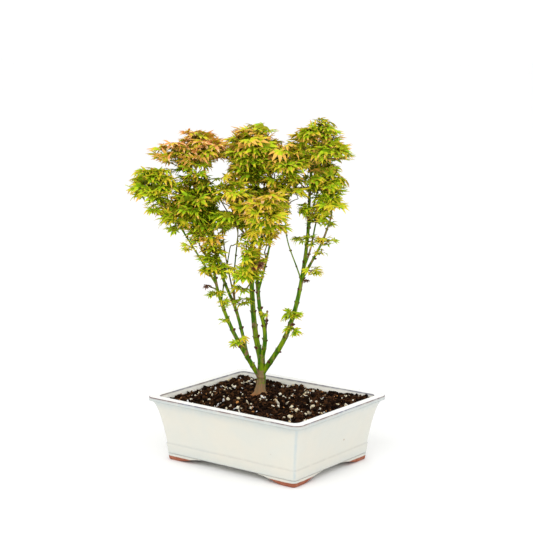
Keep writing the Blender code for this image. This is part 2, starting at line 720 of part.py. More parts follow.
def plant_axes():
    """Return the across, depth and height directions as the columns of a matrix."""
    cosine, sine = math.cos(PLANT_TURN), math.sin(PLANT_TURN)
    return np.array(((cosine, -sine, 0.0), (sine, cosine, 0.0), (0.0, 0.0, 1.0)))


def leaf_outline():
    """Return the leaf's lobes and notches as (angle, length) pairs, from side to side."""
    half = []
    for number, (angle, length) in enumerate(zip(LOBE_ANGLES, LOBE_LENGTHS)):
        half.append((angle, length))
        if number < len(NOTCH_ANGLES):
            half.append((NOTCH_ANGLES[number], NOTCH_LENGTHS[number]))
    left = [(-angle, length) for angle, length in reversed(half[1:])]
    return [*left, *half]


def leaf_solid(root, joint, pointing, normal, size):
    """Make one leaf with its stalk.

    The blade is a drooping star, thickest at the joint and sharp all round its edge. The
    three-sided stalk runs on from it to the root, which is sunk in a shoot.
    """
    normal = unit(normal - pointing * np.dot(normal, pointing))
    side = np.cross(normal, pointing)
    reach = LEAF_REACH * size
    blade = []
    for angle, length in leaf_outline():
        turn = math.radians(angle)
        flat = pointing * math.cos(turn) + side * math.sin(turn)
        blade.append(joint + reach * (flat * length - normal * LEAF_DROOP * length ** 2))
    count = len(blade)
    along = unit(joint - root)
    left, top = side * STALK_RADIUS, normal * LEAF_THICKNESS / 2
    heel = joint - along * LEAF_THICKNESS
    end_left = unit(np.cross(normal, along)) * STALK_RADIUS
    end_low = np.cross(end_left, along)
    vertices = np.array([*blade, heel - left, heel + left, joint + top, joint - top,
                         root - end_left, root + end_left, root + end_low])
    near, far, upper, lower, root_near, root_far, root_low = range(count, count + 7)
    faces = [(far, near, upper)]
    rim = [near, *range(count), far]
    for start, stop in zip(rim, rim[1:]):
        faces.append((start, stop, upper))
        faces.append((stop, start, lower))
    faces.append((near, far, root_far, root_near))
    faces.append((lower, near, root_near, root_low))
    faces.append((far, lower, root_low, root_far))
    faces.append((root_near, root_far, root_low))
    return vertices, faces


def search_tree(solid):
    """Return a search tree of a solid's faces, for overlap tests."""
    vertices, faces = solid
    return BVHTree.FromPolygons([tuple(vertex) for vertex in vertices], faces)


def mass_stem(mass, curves):
    """Return the stem of a mass: it leaves its limb with a small gap and rises through it."""
    curve = curves[mass.limb]
    centre = plant_point(*mass.centre)
    across, depth, height = mass.centre
    top = plant_point(across, depth, height + STEM_RISE * mass.reach[2])
    if mass.grows_at == TIP:
        direction = curve.tangent(curve.length)
        start = curve.point(curve.length) + direction * GAP
        radius = min(curve.radius(curve.length), STEM_RADIUS)
    else:
        along = curve.at_height(mass.grows_at)
        root = curve.point(along)
        tangent = curve.tangent(along)
        towards = centre - root
        square = unit(towards - tangent * np.dot(towards, tangent))
        direction = unit(square + STEM_LEAN * tangent)
        radius = min(curve.radius(along) * STEM_SHARE, STEM_RADIUS)
        lean_room = radius * math.sin(math.atan(STEM_LEAN))
        start = root + square * (curve.radius(along) + GAP + lean_room)
    return Curve([start, start + direction * STEM_LEAD, centre, top], radius, radius * SHOOT_TAPER)


class Grower:
    """Grows the masses one after another, clear of the limbs and of each other's stems."""

    def __init__(self, curves, marks):
        """Gather what the foliage has to stay clear of."""
        self.stems = {mass.name: mass_stem(mass, curves) for mass in MASSES}
        self.limb_trees = [search_tree(trunk_solid(curves["trunk"]))]
        for limb in LIMBS:
            curve = curves[limb.name]
            self.limb_trees.append(search_tree(
                limb_tube(curve, 0.0, curve.length, limb.sides, LIMB_MARGIN)))
        self.stem_trees = {
            name: search_tree(stem_tube(stem, LIMB_MARGIN))
            for name, stem in self.stems.items()}
        self.leaf_count = 0

    def clear_of_limbs(self, solid, own_name):
        """Tell whether a solid touches no limb and no other mass's stem."""
        tree = search_tree(solid)
        if any(tree.overlap(limb) for limb in self.limb_trees):
            return False
        return not any(tree.overlap(other) for name, other in self.stem_trees.items()
                       if name != own_name)

    def shoot_curve(self, mass, stem, number, count, chance):
        """Return one side shoot: from the stem, up and out to a place in the mass."""
        fraction = (number + 0.5) / count
        turn = number * GOLDEN_ANGLE + chance.uniform(0.0, SHOOT_STRAY)
        lift = SHOOT_LIFT - SHOOT_DROP * fraction
        out = np.array((math.cos(turn), math.sin(turn), lift)) * SHOOT_REACH
        tip = plant_point(*(np.asarray(mass.centre) + np.asarray(mass.reach) * out))
        root = stem.point(stem.length * (FIRST_SHOOT - SHOOT_SPAN * fraction))
        middle = 0.5 * (root + tip) - np.array((0.0, 0.0, SHOOT_SAG * mass.reach[2]))
        return Curve([root, middle, tip], SHOOT_RADIUS, SHOOT_RADIUS * SHOOT_TAPER)

    def grow(self, mass, seed):
        """Grow one mass: its stem, its side shoots, then leaves until it has its number."""
        chance = random.Random(seed)
        space = Space(mass, MASSES)
        stem = self.stems[mass.name]
        solids = [stem_tube(stem)]
        shoots = [stem]
        self.twigs = [search_tree(solids[0])]
        self.blades = []
        shoot_count = mass.leaves // LEAVES_A_SHOOT
        for number in range(shoot_count):
            shoot = self.shoot_curve(mass, stem, number, shoot_count, chance)
            twig = shoot_tube(shoot)
            if space.holds(twig[0][TWIG_SIDES:]) and self.clear_of_limbs(twig, mass.name):
                solids.append(twig)
                self.twigs.append(search_tree(twig))
                shoots.append(shoot)
        for scale in LEAF_SCALES:
            for _ in range(LEAF_TRIALS):
                if len(self.blades) == mass.leaves:
                    break
                solids.extend(self.try_leaf(mass, space, shoots, scale, chance))
        self.leaf_count += len(self.blades)
        tint = finish_material("leaf_" + mass.name, LEAF_TINTS[mass.tint], 0.6)
        return fuse(mass.name, solids, tint, "MANIFOLD")

    def try_leaf(self, mass, space, shoots, scale, chance):
        """Try one leaf somewhere in the mass; return it, or nothing where it doesn't fit.

        It points away from the middle of the mass, and hangs more the lower it is in it.
        """
        place = np.array([chance.uniform(-LEAF_SPREAD, LEAF_SPREAD) for _ in range(3)])
        joint = plant_point(*(np.asarray(mass.centre) + np.asarray(mass.reach) * place))
        away = (joint - space.centre) * (1.0, 1.0, 0.0) / max(mass.reach)
        turn = chance.uniform(-math.pi, math.pi)
        outward = unit(away + TURN_STRAY * np.array((math.cos(turn), math.sin(turn), 0.0)))
        height = 0.5 + 0.5 * place[2] / LEAF_SPREAD
        tilt = LOW_TILT + (HIGH_TILT - LOW_TILT) * height
        tilt += chance.uniform(-TILT_STRAY, TILT_STRAY)
        roll = chance.uniform(-LEAF_ROLL, LEAF_ROLL)
        pointing = outward * math.cos(tilt) + np.array((0.0, 0.0, math.sin(tilt)))
        beside = np.cross((0.0, 0.0, 1.0), outward)
        normal = np.cross(pointing, beside) * math.cos(roll) + beside * math.sin(roll)
        root = self.nearest_root(shoots, joint - pointing * STALK_BACK)
        length = np.linalg.norm(joint - root)
        if not SHORTEST_STALK < length < LONGEST_STALK or np.dot(joint - root, pointing) < 0.0:
            return []
        root = root - (joint - root) / length * STALK_SINK
        leaf = leaf_solid(root, joint, pointing, normal, mass.leaf_size * scale)
        if not space.holds(leaf[0]):
            return []
        blade = search_tree((leaf[0], leaf[1][:-STALK_FACES]))
        stalk = search_tree((leaf[0], leaf[1][-STALK_FACES:]))
        if any(blade.overlap(other) for other in self.blades + self.twigs):
            return []
        if any(stalk.overlap(other) for other in self.blades):
            return []
        if not self.clear_of_limbs(leaf, mass.name):
            return []
        self.blades.append(blade)
        self.twigs.append(stalk)
        return [leaf]

    @staticmethod
    def nearest_root(shoots, point):
        """Return the point of the shoots' centre lines that is nearest to a point."""
        lines = np.concatenate([shoot.samples[len(shoot.samples) // 4:-2] for shoot in shoots])
        return lines[np.argmin(np.linalg.norm(lines - point, axis=1))]


# Assembly ----------------------------------------------------------------------------------

def centre_on_origin(pieces):
    """Shift every piece so that the whole box is centred over the origin, on the ground."""
    corners = np.array([tuple(vertex.co) for piece in pieces for vertex in piece.data.vertices])
    middle = 0.5 * (corners.min(axis=0) + corners.max(axis=0))
    stand = bpy.data.objects.new("stand_point", None)
    bpy.context.scene.collection.objects.link(stand)
    stand.location = (-middle[0], -middle[1], 0.0)
    for piece in pieces:
        piece.parent = stand


def main():
    """Build the pot, the limbs and the foliage."""
    clear_scene()
    pieces = [make_pot(), *make_feet(), make_soil()]
    curves = limb_curves()
    marks = joint_marks(curves)
    pieces += make_limbs(curves, marks)
    grower = Grower(curves, marks)
    for seed, mass in enumerate(MASSES):
        pieces.append(grower.grow(mass, SEED + seed))
    centre_on_origin(pieces)
    triangles = 0
    for piece in pieces:
        piece.data.calc_loop_triangles()
        triangles += len(piece.data.loop_triangles)
    print("leaves", grower.leaf_count, "triangles", triangles, "pieces", len(pieces))


main()
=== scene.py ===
"""Looks of the potted Japanese maple: glazed pot, coarse soil, green stems and a layered crown.

Units are metres and +Z is up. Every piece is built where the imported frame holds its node. The
plant has its own directions: "across" is the way the crown is widest and "depth" is square to
it. A plant point is (across, depth, height), measured from the trunk's foot and the ground.
"""

import json
import logging
import math
from collections.abc import Callable
from dataclasses import dataclass, field
from enum import Enum

import bpy
import numpy as np
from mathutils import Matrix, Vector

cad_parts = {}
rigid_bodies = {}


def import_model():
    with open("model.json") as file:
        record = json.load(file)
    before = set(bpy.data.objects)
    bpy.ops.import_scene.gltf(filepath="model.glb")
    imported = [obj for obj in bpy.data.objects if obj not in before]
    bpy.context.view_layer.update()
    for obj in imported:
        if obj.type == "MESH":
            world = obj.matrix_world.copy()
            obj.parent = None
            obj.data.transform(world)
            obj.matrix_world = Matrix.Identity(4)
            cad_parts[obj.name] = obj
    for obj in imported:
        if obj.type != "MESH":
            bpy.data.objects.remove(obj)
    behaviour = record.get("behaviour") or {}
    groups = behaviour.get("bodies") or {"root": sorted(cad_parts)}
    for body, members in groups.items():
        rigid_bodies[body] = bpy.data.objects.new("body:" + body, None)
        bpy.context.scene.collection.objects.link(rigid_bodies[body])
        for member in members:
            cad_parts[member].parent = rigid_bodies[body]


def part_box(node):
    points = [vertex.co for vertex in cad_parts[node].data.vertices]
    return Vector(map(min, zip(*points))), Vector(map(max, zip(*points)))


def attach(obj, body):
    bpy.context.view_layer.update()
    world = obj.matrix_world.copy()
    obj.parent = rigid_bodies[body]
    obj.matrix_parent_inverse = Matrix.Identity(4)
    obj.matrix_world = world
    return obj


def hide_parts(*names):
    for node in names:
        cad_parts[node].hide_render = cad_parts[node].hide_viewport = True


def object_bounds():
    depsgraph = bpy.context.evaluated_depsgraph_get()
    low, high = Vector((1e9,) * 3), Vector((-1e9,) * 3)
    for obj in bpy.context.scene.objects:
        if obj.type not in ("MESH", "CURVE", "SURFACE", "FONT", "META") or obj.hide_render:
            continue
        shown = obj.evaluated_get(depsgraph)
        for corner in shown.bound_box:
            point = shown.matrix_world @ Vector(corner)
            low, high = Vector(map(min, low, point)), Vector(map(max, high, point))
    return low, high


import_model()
SOLID_BOX = [list(corner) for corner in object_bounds()]

log = logging.getLogger("maple")
GOLDEN_ANGLE = math.pi * (3.0 - math.sqrt(5.0))
BODY = "root"


# Arrays and meshes --------------------------------------------------------------------------

def unit(vectors: np.ndarray) -> np.ndarray:
    """Return vectors at length 1, along the last axis."""
    vectors = np.asarray(vectors, float)
    return vectors / np.maximum(np.linalg.norm(vectors, axis=-1, keepdims=True), 1e-12)


def ripple(points: np.ndarray, wavelength: float, seed: int, waves: int = 9) -> np.ndarray:
    """Return smooth relief between about -1 and 1: a mean of sines in seeded directions.

    Args:
        points: Places, one a row.
        wavelength: Rough length of one swell.
        seed: Picks the directions and phases.
        waves: How many sines are summed.

    Returns:
        One height for each place.
    """
    chance = np.random.default_rng(seed)
    ways = unit(chance.normal(size=(3, waves)).T).T
    ways = ways * chance.uniform(0.7, 1.5, waves) * 2 * math.pi / wavelength
    return np.sin(points @ ways + chance.uniform(0, 2 * math.pi, waves)).sum(axis=-1) / math.sqrt(
        2 * waves)


def smoothstep(low: float, high: float, values: np.ndarray) -> np.ndarray:
    """Return 0 below low, 1 above high, and an S curve between them."""
    t = np.clip((np.asarray(values, float) - low) / (high - low), 0.0, 1.0)
    return t * t * (3.0 - 2.0 * t)


def circle(count: int) -> np.ndarray:
    """Return the angles of points spaced evenly round a circle."""
    return 2 * math.pi * np.arange(count) / count


def arch(roots: np.ndarray, controls: np.ndarray, ends: np.ndarray, t: np.ndarray) -> np.ndarray:
    """Return points of quadratic arches, at shares t of the way from their roots to their ends."""
    return (roots[:, None] * (1 - t) ** 2 + 2 * controls[:, None] * t * (1 - t)
            + ends[:, None] * t ** 2)


def grid_faces(rows: int, columns: int, closed: bool = True) -> np.ndarray:
    """Return the quads of a grid of points whose columns may close on themselves.

    Args:
        rows: Number of rings.
        columns: Points in each ring.
        closed: Whether the last column joins the first.

    Returns:
        Vertex numbers, four a row.
    """
    row = np.arange(rows - 1)[:, None] * columns
    column = np.arange(columns if closed else columns - 1)[None, :]
    after = (column + 1) % columns
    return np.stack((row + column, row + after, row + columns + after, row + columns + column),
                    axis=-1).reshape(-1, 4)


def fan_faces(ring: np.ndarray, pole: int, flip: bool = False) -> np.ndarray:
    """Return the triangles that close a ring of points on a pole.

    Args:
        ring: Numbers of the ring's points.
        pole: Number of the pole.
        flip: Whether the triangles run the other way round.

    Returns:
        Three vertex numbers a row.
    """
    after = np.roll(ring, -1)
    pole_column = np.full_like(ring, pole)
    order = (after, ring, pole_column) if flip else (ring, after, pole_column)
    return np.stack(order, axis=-1)


def tube_faces(rows: int, columns: int) -> list[np.ndarray]:
    """Return the faces of a tube whose two poles come after its rings, and close it."""
    ring, end = np.arange(columns), rows * columns
    return [grid_faces(rows, columns), fan_faces(ring, end, flip=True),
            fan_faces(ring + end - columns, end + 1)]


def tube_mask(values: np.ndarray, columns: int) -> np.ndarray:
    """Return a mask for every point of such a tube: a value for each ring or point, 0 at poles."""
    spread = values if values.ndim == 2 else values[:, None] * np.ones(columns)
    return np.append(spread.ravel(), (0, 0))


def copied(faces: np.ndarray, number: int, size: int) -> np.ndarray:
    """Return the faces of many copies of a shape, each of which has size points."""
    return (faces[None] + np.arange(number)[:, None, None] * size).reshape(-1, faces.shape[1])


def raised(rings: np.ndarray, heights: np.ndarray) -> np.ndarray:
    """Return rings of X and Y as rings of points, each at its own height."""
    tall = np.broadcast_to(heights[:, None, None], (*rings.shape[:2], 1))
    return np.concatenate((rings, tall), axis=-1)


def pot_middle() -> np.ndarray:
    """Return the middle of the pot on the ground plane."""
    low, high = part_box("pot")
    return np.array(((low.x + high.x) / 2, (low.y + high.y) / 2, 0.0))


def put_in_scene(name: str, data: bpy.types.ID) -> bpy.types.Object:
    """Make an object and link it to the scene.

    Args:
        name: The object's name.
        data: The mesh, lamp or camera that it holds.

    Returns:
        The new object.
    """
    made = bpy.data.objects.new(name, data)
    bpy.context.scene.collection.objects.link(made)
    return made


@dataclass
class Surface:
    """Points and faces gathered for one piece, with a finish number for each face."""

    points: list[np.ndarray] = field(default_factory=list)
    faces: list[np.ndarray] = field(default_factory=list)
    finishes: list[np.ndarray] = field(default_factory=list)
    masks: dict[str, list[np.ndarray]] = field(default_factory=dict)
    count: int = 0

    def add(self, points: np.ndarray, faces: list[np.ndarray], finish: int = 0,
            **masks: np.ndarray) -> None:
        """Add one patch.

        Args:
            points: Places of the patch's vertices.
            faces: Arrays of vertex numbers, each array with faces of one size.
            finish: Number of the patch's finish, or of each face's in a list of arrays.
            masks: Named values for each vertex.
        """
        points = np.asarray(points, float).reshape(-1, 3)
        for number, group in enumerate(faces):
            self.faces.append(np.asarray(group, np.int64) + self.count)
            given = finish[number] if isinstance(finish, list) else finish
            self.finishes.append(np.broadcast_to(given, len(group)).astype(np.int32))
        for name, values in masks.items():
            self.masks.setdefault(name, []).append(
                np.broadcast_to(np.asarray(values, float), len(points)))
        self.points.append(points)
        self.count += len(points)

    def extend(self, other: "Surface") -> None:
        """Add everything that another surface has gathered.

        Args:
            other: The other surface.
        """
        self.faces.extend(group + self.count for group in other.faces)
        self.finishes.extend(other.finishes)
        self.points.extend(other.points)
        for name, parts in other.masks.items():
            self.masks.setdefault(name, []).extend(parts)
        self.count += other.count

    def to_piece(self, name: str, materials: list[bpy.types.Material],
                 smooth: bool = True) -> bpy.types.Object:
        """Make the gathered patches one object that rides on the plant's body.

        Args:
            name: The piece's name.
            materials: Its materials, in the order of the finish numbers.
            smooth: Whether its faces are shaded smooth.

        Returns:
            The new object.
        """
        points = np.concatenate(self.points)
        corners = np.concatenate([group.ravel() for group in self.faces])
        sizes = np.concatenate([np.full(len(group), group.shape[1]) for group in self.faces])
        mesh = bpy.data.meshes.new(name)
        mesh.vertices.add(len(points))
        mesh.vertices.foreach_set("co", points.astype(np.float32).ravel())
        mesh.loops.add(len(corners))
        mesh.loops.foreach_set("vertex_index", corners.astype(np.int32))
        mesh.polygons.add(len(sizes))
        starts = np.concatenate(([0], np.cumsum(sizes)[:-1]))
        mesh.polygons.foreach_set("loop_start", starts.astype(np.int32))
        mesh.polygons.foreach_set("loop_total", sizes.astype(np.int32))
        mesh.polygons.foreach_set("material_index", np.concatenate(self.finishes))
        mesh.polygons.foreach_set("use_smooth", np.full(len(sizes), smooth))
        for title, parts in self.masks.items():
            layer = mesh.attributes.new(title, "FLOAT", "POINT")
            layer.data.foreach_set("value", np.concatenate(parts).astype(np.float32))
        mesh.update(calc_edges=True)
        for material in materials:
            mesh.materials.append(material)
        piece = put_in_scene(name, mesh)
        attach(piece, BODY)
        log.info("%s: %d faces", name, len(sizes))
        return piece


# Shader expressions -------------------------------------------------------------------------

def maths(operation: str, swapped: bool = False) -> Callable[["Value", object], "Value"]:
    """Return a method of Value that adds one Math node to its shader.

    Args:
        operation: What the node does.
        swapped: Whether the method's own value is the node's second input.

    Returns:
        The method.
    """
    def method(self: "Value", other: "Value | float") -> "Value":
        """Return the result of the node.

        Args:
            self: One input.
            other: The other input.

        Returns:
            The node's output.
        """
        pair = (other, self) if swapped else (self, other)
        made = self.shader.node("ShaderNodeMath", {"operation": operation},
                                dict(enumerate(pair)))
        return Value(self.shader, made.outputs[0])

    return method


class Value:
    """A number socket of a shader that takes part in Python expressions."""

    def __init__(self, shader: "Shader", socket: bpy.types.NodeSocket) -> None:
        """Wrap an output socket of a shader's node."""
        self.shader = shader
        self.socket = socket

    __add__ = __radd__ = maths("ADD")
    __sub__ = maths("SUBTRACT")
    __rsub__ = maths("SUBTRACT", swapped=True)
    __mul__ = __rmul__ = maths("MULTIPLY")
    at_most = maths("MINIMUM")

    def between(self, low: float, high: float) -> "Value":
        """Return a smooth step: 0 below low, 1 above high, or the other way if low is higher."""
        made = self.shader.node("ShaderNodeMapRange", {"interpolation_type": "SMOOTHSTEP"},
                                {"Value": self, "From Min": low, "From Max": high})
        return Value(self.shader, made.outputs["Result"])


class Shader:
    """A Principled material that is built from nodes."""

    def __init__(self, name: str, roughness: float = 0.5, specular: float = 0.5) -> None:
        """Start a material.

        Args:
            name: The material's name.
            roughness: Roughness all over, until something is linked to it.
            specular: Specular level all over.
        """
        self.material = bpy.data.materials.new(name)
        self.material.use_nodes = True
        self.tree = self.material.node_tree
        self.surface = self.tree.nodes["Principled BSDF"]
        self.surface.inputs["Roughness"].default_value = roughness
        self.surface.inputs["Specular IOR Level"].default_value = specular
        self._place: bpy.types.NodeSocket | None = None

    def node(self, kind: str, settings: dict[str, object],
             inputs: dict[str | int, object]) -> bpy.types.Node:
        """Add a node.

        Args:
            kind: The node's type.
            settings: Its properties, set first.
            inputs: A value, colour, socket or Value for each named or numbered input.

        Returns:
            The new node.
        """
        made = self.tree.nodes.new(kind)
        for name, setting in settings.items():
            setattr(made, name, setting)
        for name, given in inputs.items():
            if isinstance(given, Value):
                self.tree.links.new(given.socket, made.inputs[name])
            elif isinstance(given, bpy.types.NodeSocket):
                self.tree.links.new(given, made.inputs[name])
            else:
                made.inputs[name].default_value = given
        return made

    def place(self) -> bpy.types.NodeSocket:
        """Return the object coordinates."""
        if self._place is None:
            self._place = self.node("ShaderNodeTexCoord", {}, {}).outputs["Object"]
        return self._place

    def height(self) -> Value:
        """Return the height in the object's coordinates."""
        made = self.node("ShaderNodeSeparateXYZ", {}, {0: self.place()})
        return Value(self, made.outputs["Z"])

    def stretched(self, scale: tuple[float, float, float]) -> bpy.types.NodeSocket:
        """Return the object coordinates, scaled by axis."""
        made = self.node("ShaderNodeMapping", {}, {"Vector": self.place(), "Scale": scale})
        return made.outputs["Vector"]

    def noise(self, scale: float, detail: float = 3.0, rough: float = 0.55,
              at: bpy.types.NodeSocket | None = None) -> Value:
        """Return fractal noise between 0 and 1.

        Args:
            scale: Swells in a metre.
            detail: Octaves.
            rough: How strong the finer octaves are.
            at: Where it is read, or the object coordinates.

        Returns:
            The noise.
        """
        made = self.node("ShaderNodeTexNoise", {}, {
            "Vector": at or self.place(), "Scale": scale, "Detail": detail, "Roughness": rough})
        return Value(self, made.outputs["Fac"])

    def cells(self, scale: float) -> tuple[Value, Value]:
        """Return a cell pattern: the distance from the cell's middle, and its own number."""
        made = self.node("ShaderNodeTexVoronoi", {}, {"Vector": self.place(), "Scale": scale})
        split = self.node("ShaderNodeSeparateColor", {}, {"Color": made.outputs["Color"]})
        return Value(self, made.outputs["Distance"]), Value(self, split.outputs[0])

    def mask(self, name: str) -> Value:
        """Return a named value of the piece's own vertices."""
        made = self.node("ShaderNodeAttribute", {"attribute_name": name}, {})
        return Value(self, made.outputs["Fac"])

    def mix(self, share: "Value | float", first: object, second: object) -> bpy.types.NodeSocket:
        """Mix two colours.

        Args:
            share: Share of the second colour.
            first: A colour or a colour socket.
            second: A colour or a colour socket.

        Returns:
            The mixed colour.
        """
        made = self.node("ShaderNodeMix", {"data_type": "RGBA"}, {
            0: share, 6: self._colour(first), 7: self._colour(second)})
        return made.outputs[2]

    @staticmethod
    def _colour(given: object) -> object:
        """Return a colour with its alpha, or a socket as it is."""
        return (*given, 1.0) if isinstance(given, tuple) and len(given) == 3 else given

    def finish(self, colour: object, roughness: "Value | float | None" = None,
               relief: "Value | None" = None, depth: float = 0.0) -> bpy.types.Material:
        """Connect the surface.

        Args:
            colour: Base colour or its socket.
            roughness: Roughness, where it varies.
            relief: Height of a bump.
            depth: The bump's depth in metres.

        Returns:
            The material.
        """
        if isinstance(colour, bpy.types.NodeSocket):
            self.tree.links.new(colour, self.surface.inputs["Base Color"])
        else:
            self.surface.inputs["Base Color"].default_value = self._colour(colour)
        if isinstance(roughness, Value):
            self.tree.links.new(roughness.socket, self.surface.inputs["Roughness"])
        if relief is not None:
            bump = self.node("ShaderNodeBump", {}, {
                "Height": relief, "Distance": depth, "Strength": 1.0})
            self.tree.links.new(bump.outputs["Normal"], self.surface.inputs["Normal"])
        return self.material


# Finishes -----------------------------------------------------------------------------------

Colour = tuple[float, float, float]


@dataclass(frozen=True)
class Glaze:
    """Cream glaze: it pools blue in hollows, breaks violet on edges and ends over bare clay.
    Painted light makes the rim's flat top near white and lightens the inner wall.
    """

    cream: Colour = (0.675, 0.675, 0.610)
    warm: Colour = (0.710, 0.685, 0.600)
    # painted highlight: the near-white colour of the rim's flat top
    rim: Colour = (0.92, 0.92, 0.90)
    # painted light: lighter colour of the inner wall, to cancel the shade that falls inside the
    # pot
    inner: Colour = (0.95, 0.93, 0.86)
    pooled: Colour = (0.50, 0.575, 0.59)
    broken: Colour = (0.080, 0.075, 0.150)
    rusty: Colour = (0.130, 0.055, 0.055)
    speck: Colour = (0.36, 0.22, 0.10)
    clay: Colour = (0.31, 0.088, 0.042)
    worn: Colour = (0.39, 0.135, 0.072)
    burnt: Colour = (0.17, 0.055, 0.035)
    rim_height: float = 0.0853

    def material(self, name: str, bare_height: float) -> bpy.types.Material:
        """Return the glaze: clouds, pools and edges by the piece's own masks, and rare specks.

        Args:
            name: The material's name.
            bare_height: Height of the wavy line below which the clay is bare.

        Returns:
            The material.
        """
        shader = Shader(name, specular=0.5)
        clouds = shader.noise(22.0, 3.0).between(0.35, 0.7)
        body = shader.mix(clouds, self.cream, self.warm)
        mottle = shader.noise(260.0, 3.0, 0.6)
        runs = shader.noise(1.0, 4.0, 0.6, at=shader.stretched((170.0, 170.0, 42.0)))
        pool = shader.mask("pool") * (0.05 + 1.4 * runs) * (0.3 + 1.1 * mottle)
        body = shader.mix(pool.at_most(0.8), body, self.pooled)
        patchy = shader.noise(95.0, 3.0, 0.6).between(0.25, 0.62)
        # Painted highlight: the flat top of the rim is painted near white, as if lit from above.
        top = shader.height().between(self.rim_height - 0.0005, self.rim_height - 0.0001)
        body = shader.mix(top, body, self.rim)
        # Painted light: the inner wall is painted lighter, to cancel the shade that falls inside
        # the pot.
        body = shader.mix(shader.mask("inside"), body, self.inner)
        edge = shader.mask("arris") * (0.45 + 0.55 * patchy)
        tone = shader.noise(13.0, 2.0).between(0.44, 0.56)
        body = shader.mix(edge.at_most(1.0), body, shader.mix(tone, self.broken, self.rusty))
        distance, number = shader.cells(55.0)
        specks = distance.between(0.085, 0.05) * number.between(0.86, 0.88)
        body = shader.mix(specks * 0.75, body, self.speck)
        clay = shader.mix(shader.noise(120.0, 4.0).between(0.4, 0.7), self.clay, self.worn)
        clay = shader.mix(shader.noise(55.0, 2.0).between(0.55, 0.8) * 0.6, clay, self.burnt)
        line = shader.height() + 0.0016 * shader.noise(60.0, 2.0) - 0.0008
        bare = line.between(bare_height + 0.0002, bare_height - 0.0002)
        body = shader.mix(bare, body, clay)
        waves = shader.noise(38.0, 2.0) + 0.12 * shader.noise(900.0, 2.0)
        gloss = 0.17 + 0.14 * mottle
        return shader.finish(body, gloss + bare * (0.82 - gloss), waves - 0.4 * bare, 0.0007)


@dataclass(frozen=True)
class Peat:
    """Dark, fibrous bed under the loose crumbs."""

    dark: Colour = (0.007, 0.003, 0.002)
    brown: Colour = (0.050, 0.020, 0.009)

    def material(self) -> bpy.types.Material:
        """Make the peat.

        Returns:
            The material.
        """
        shader = Shader("peat", 0.92, 0.05)
        lumps = shader.noise(420.0, 5.0, 0.65)
        body = shader.mix(lumps.between(0.42, 0.72), self.dark, self.brown)
        return shader.finish(body, relief=lumps, depth=0.0015)


@dataclass(frozen=True)
class PlainFinish:
    """One colour of the many small things: leaves, crumbs, grains and buds."""

    name: str
    colour: Colour
    roughness: float = 0.6
    specular: float = 0.08

    def material(self) -> bpy.types.Material:
        """Return the plain material."""
        return Shader(self.name, self.roughness, self.specular).finish(self.colour)


@dataclass(frozen=True)
class Bark:
    """Smooth green young bark, with painted light in long bands of a lighter lit green:
    violet-brown at the nodes, tan and cracked on old wood.
    """

    name: str = "bark"
    green: Colour = (0.045, 0.150, 0.002)
    # painted light: a lighter copy of the green for the lit side of the stems
    lit: Colour = (0.200, 0.305, 0.003)
    node: Colour = (0.100, 0.028, 0.016)
    streak: Colour = (0.120, 0.070, 0.020)
    blush: Colour = (0.300, 0.160, 0.100)
    tan: Colour = (0.36, 0.20, 0.095)
    orange: Colour = (0.40, 0.15, 0.05)
    grey: Colour = (0.21, 0.18, 0.09)

    def material(self) -> bpy.types.Material:
        """Make the bark; masks give the nodes, the old wood and the root flare.

        Returns:
            The material.
        """
        shader = Shader(self.name, 0.5, 0.1)
        along = shader.noise(1.0, 4.0, 0.6, at=shader.stretched((620.0, 620.0, 45.0)))
        patches = shader.noise(150.0, 3.0, 0.6)
        sweep = shader.noise(1.0, 2.0, 0.5, at=shader.stretched((260.0, 260.0, 22.0)))
        # Painted light: long bands of the lighter lit green stand in for the lit sides of the
        # stems.
        body = shader.mix(sweep.between(0.40, 0.60), self.green, self.lit)
        body = shader.mix(along.between(0.54, 0.72) * 0.75, body, self.streak)
        body = shader.mix(shader.noise(48.0, 4.0, 0.7).between(0.53, 0.62) * 0.80, body,
                          self.blush)
        old = (shader.mask("old") + 1.1 * (patches - 0.5)).between(0.25, 0.75)
        wood = shader.mix(along.between(0.35, 0.65), self.grey, self.tan)
        wood = shader.mix(shader.mask("flare") * patches.between(0.2, 0.6), wood, self.orange)
        body = shader.mix(old, body, wood)
        broken = shader.noise(420.0, 2.0, 0.5).between(0.42, 0.60)
        ring = (shader.mask("node") * (0.30 + 0.70 * broken)).at_most(0.95)
        body = shader.mix(ring, body, self.node)
        relief = along + 0.8 * shader.noise(700.0, 3.0)
        return shader.finish(body, 0.42 + 0.35 * old, relief, 0.00035)


@dataclass(frozen=True)
class DeadWood:
    """Dry dark wood of the broken stub."""

    dark: Colour = (0.050, 0.020, 0.014)
    dry: Colour = (0.14, 0.075, 0.045)
    pale: Colour = (0.40, 0.25, 0.15)

    def material(self) -> bpy.types.Material:
        """Make the dead wood, streaked along its length.

        Returns:
            The material.
        """
        shader = Shader("dead_wood", 0.85, 0.2)
        along = shader.noise(1.0, 4.0, 0.6, at=shader.stretched((800.0, 800.0, 150.0)))
        body = shader.mix(along.between(0.42, 0.62), self.dark, self.dry)
        body = shader.mix(shader.mask("old") * along.between(0.30, 0.55), body, self.pale)
        return shader.finish(body, relief=along, depth=0.0005)


# Plant directions and curves ----------------------------------------------------------------

@dataclass(frozen=True)
class PlantFrame:
    """Where the plant stands on the pot and how it is turned."""

    turn: float = math.radians(36.5)
    foot: tuple[float, float] = (-0.0218, 0.0143)

    def axes(self) -> np.ndarray:
        """Return the across, depth and height directions as the rows of a matrix."""
        cosine, sine = math.cos(self.turn), math.sin(self.turn)
        return np.array(((cosine, sine, 0.0), (-sine, cosine, 0.0), (0.0, 0.0, 1.0)))

    def origin(self) -> np.ndarray:
        """Return the trunk's foot on the ground plane, in the frame."""
        return pot_middle() + (*self.foot, 0.0)

    def place(self, points: np.ndarray | tuple) -> np.ndarray:
        """Turn plant points into the frame's."""
        return np.asarray(points, float) @ self.axes() + self.origin()


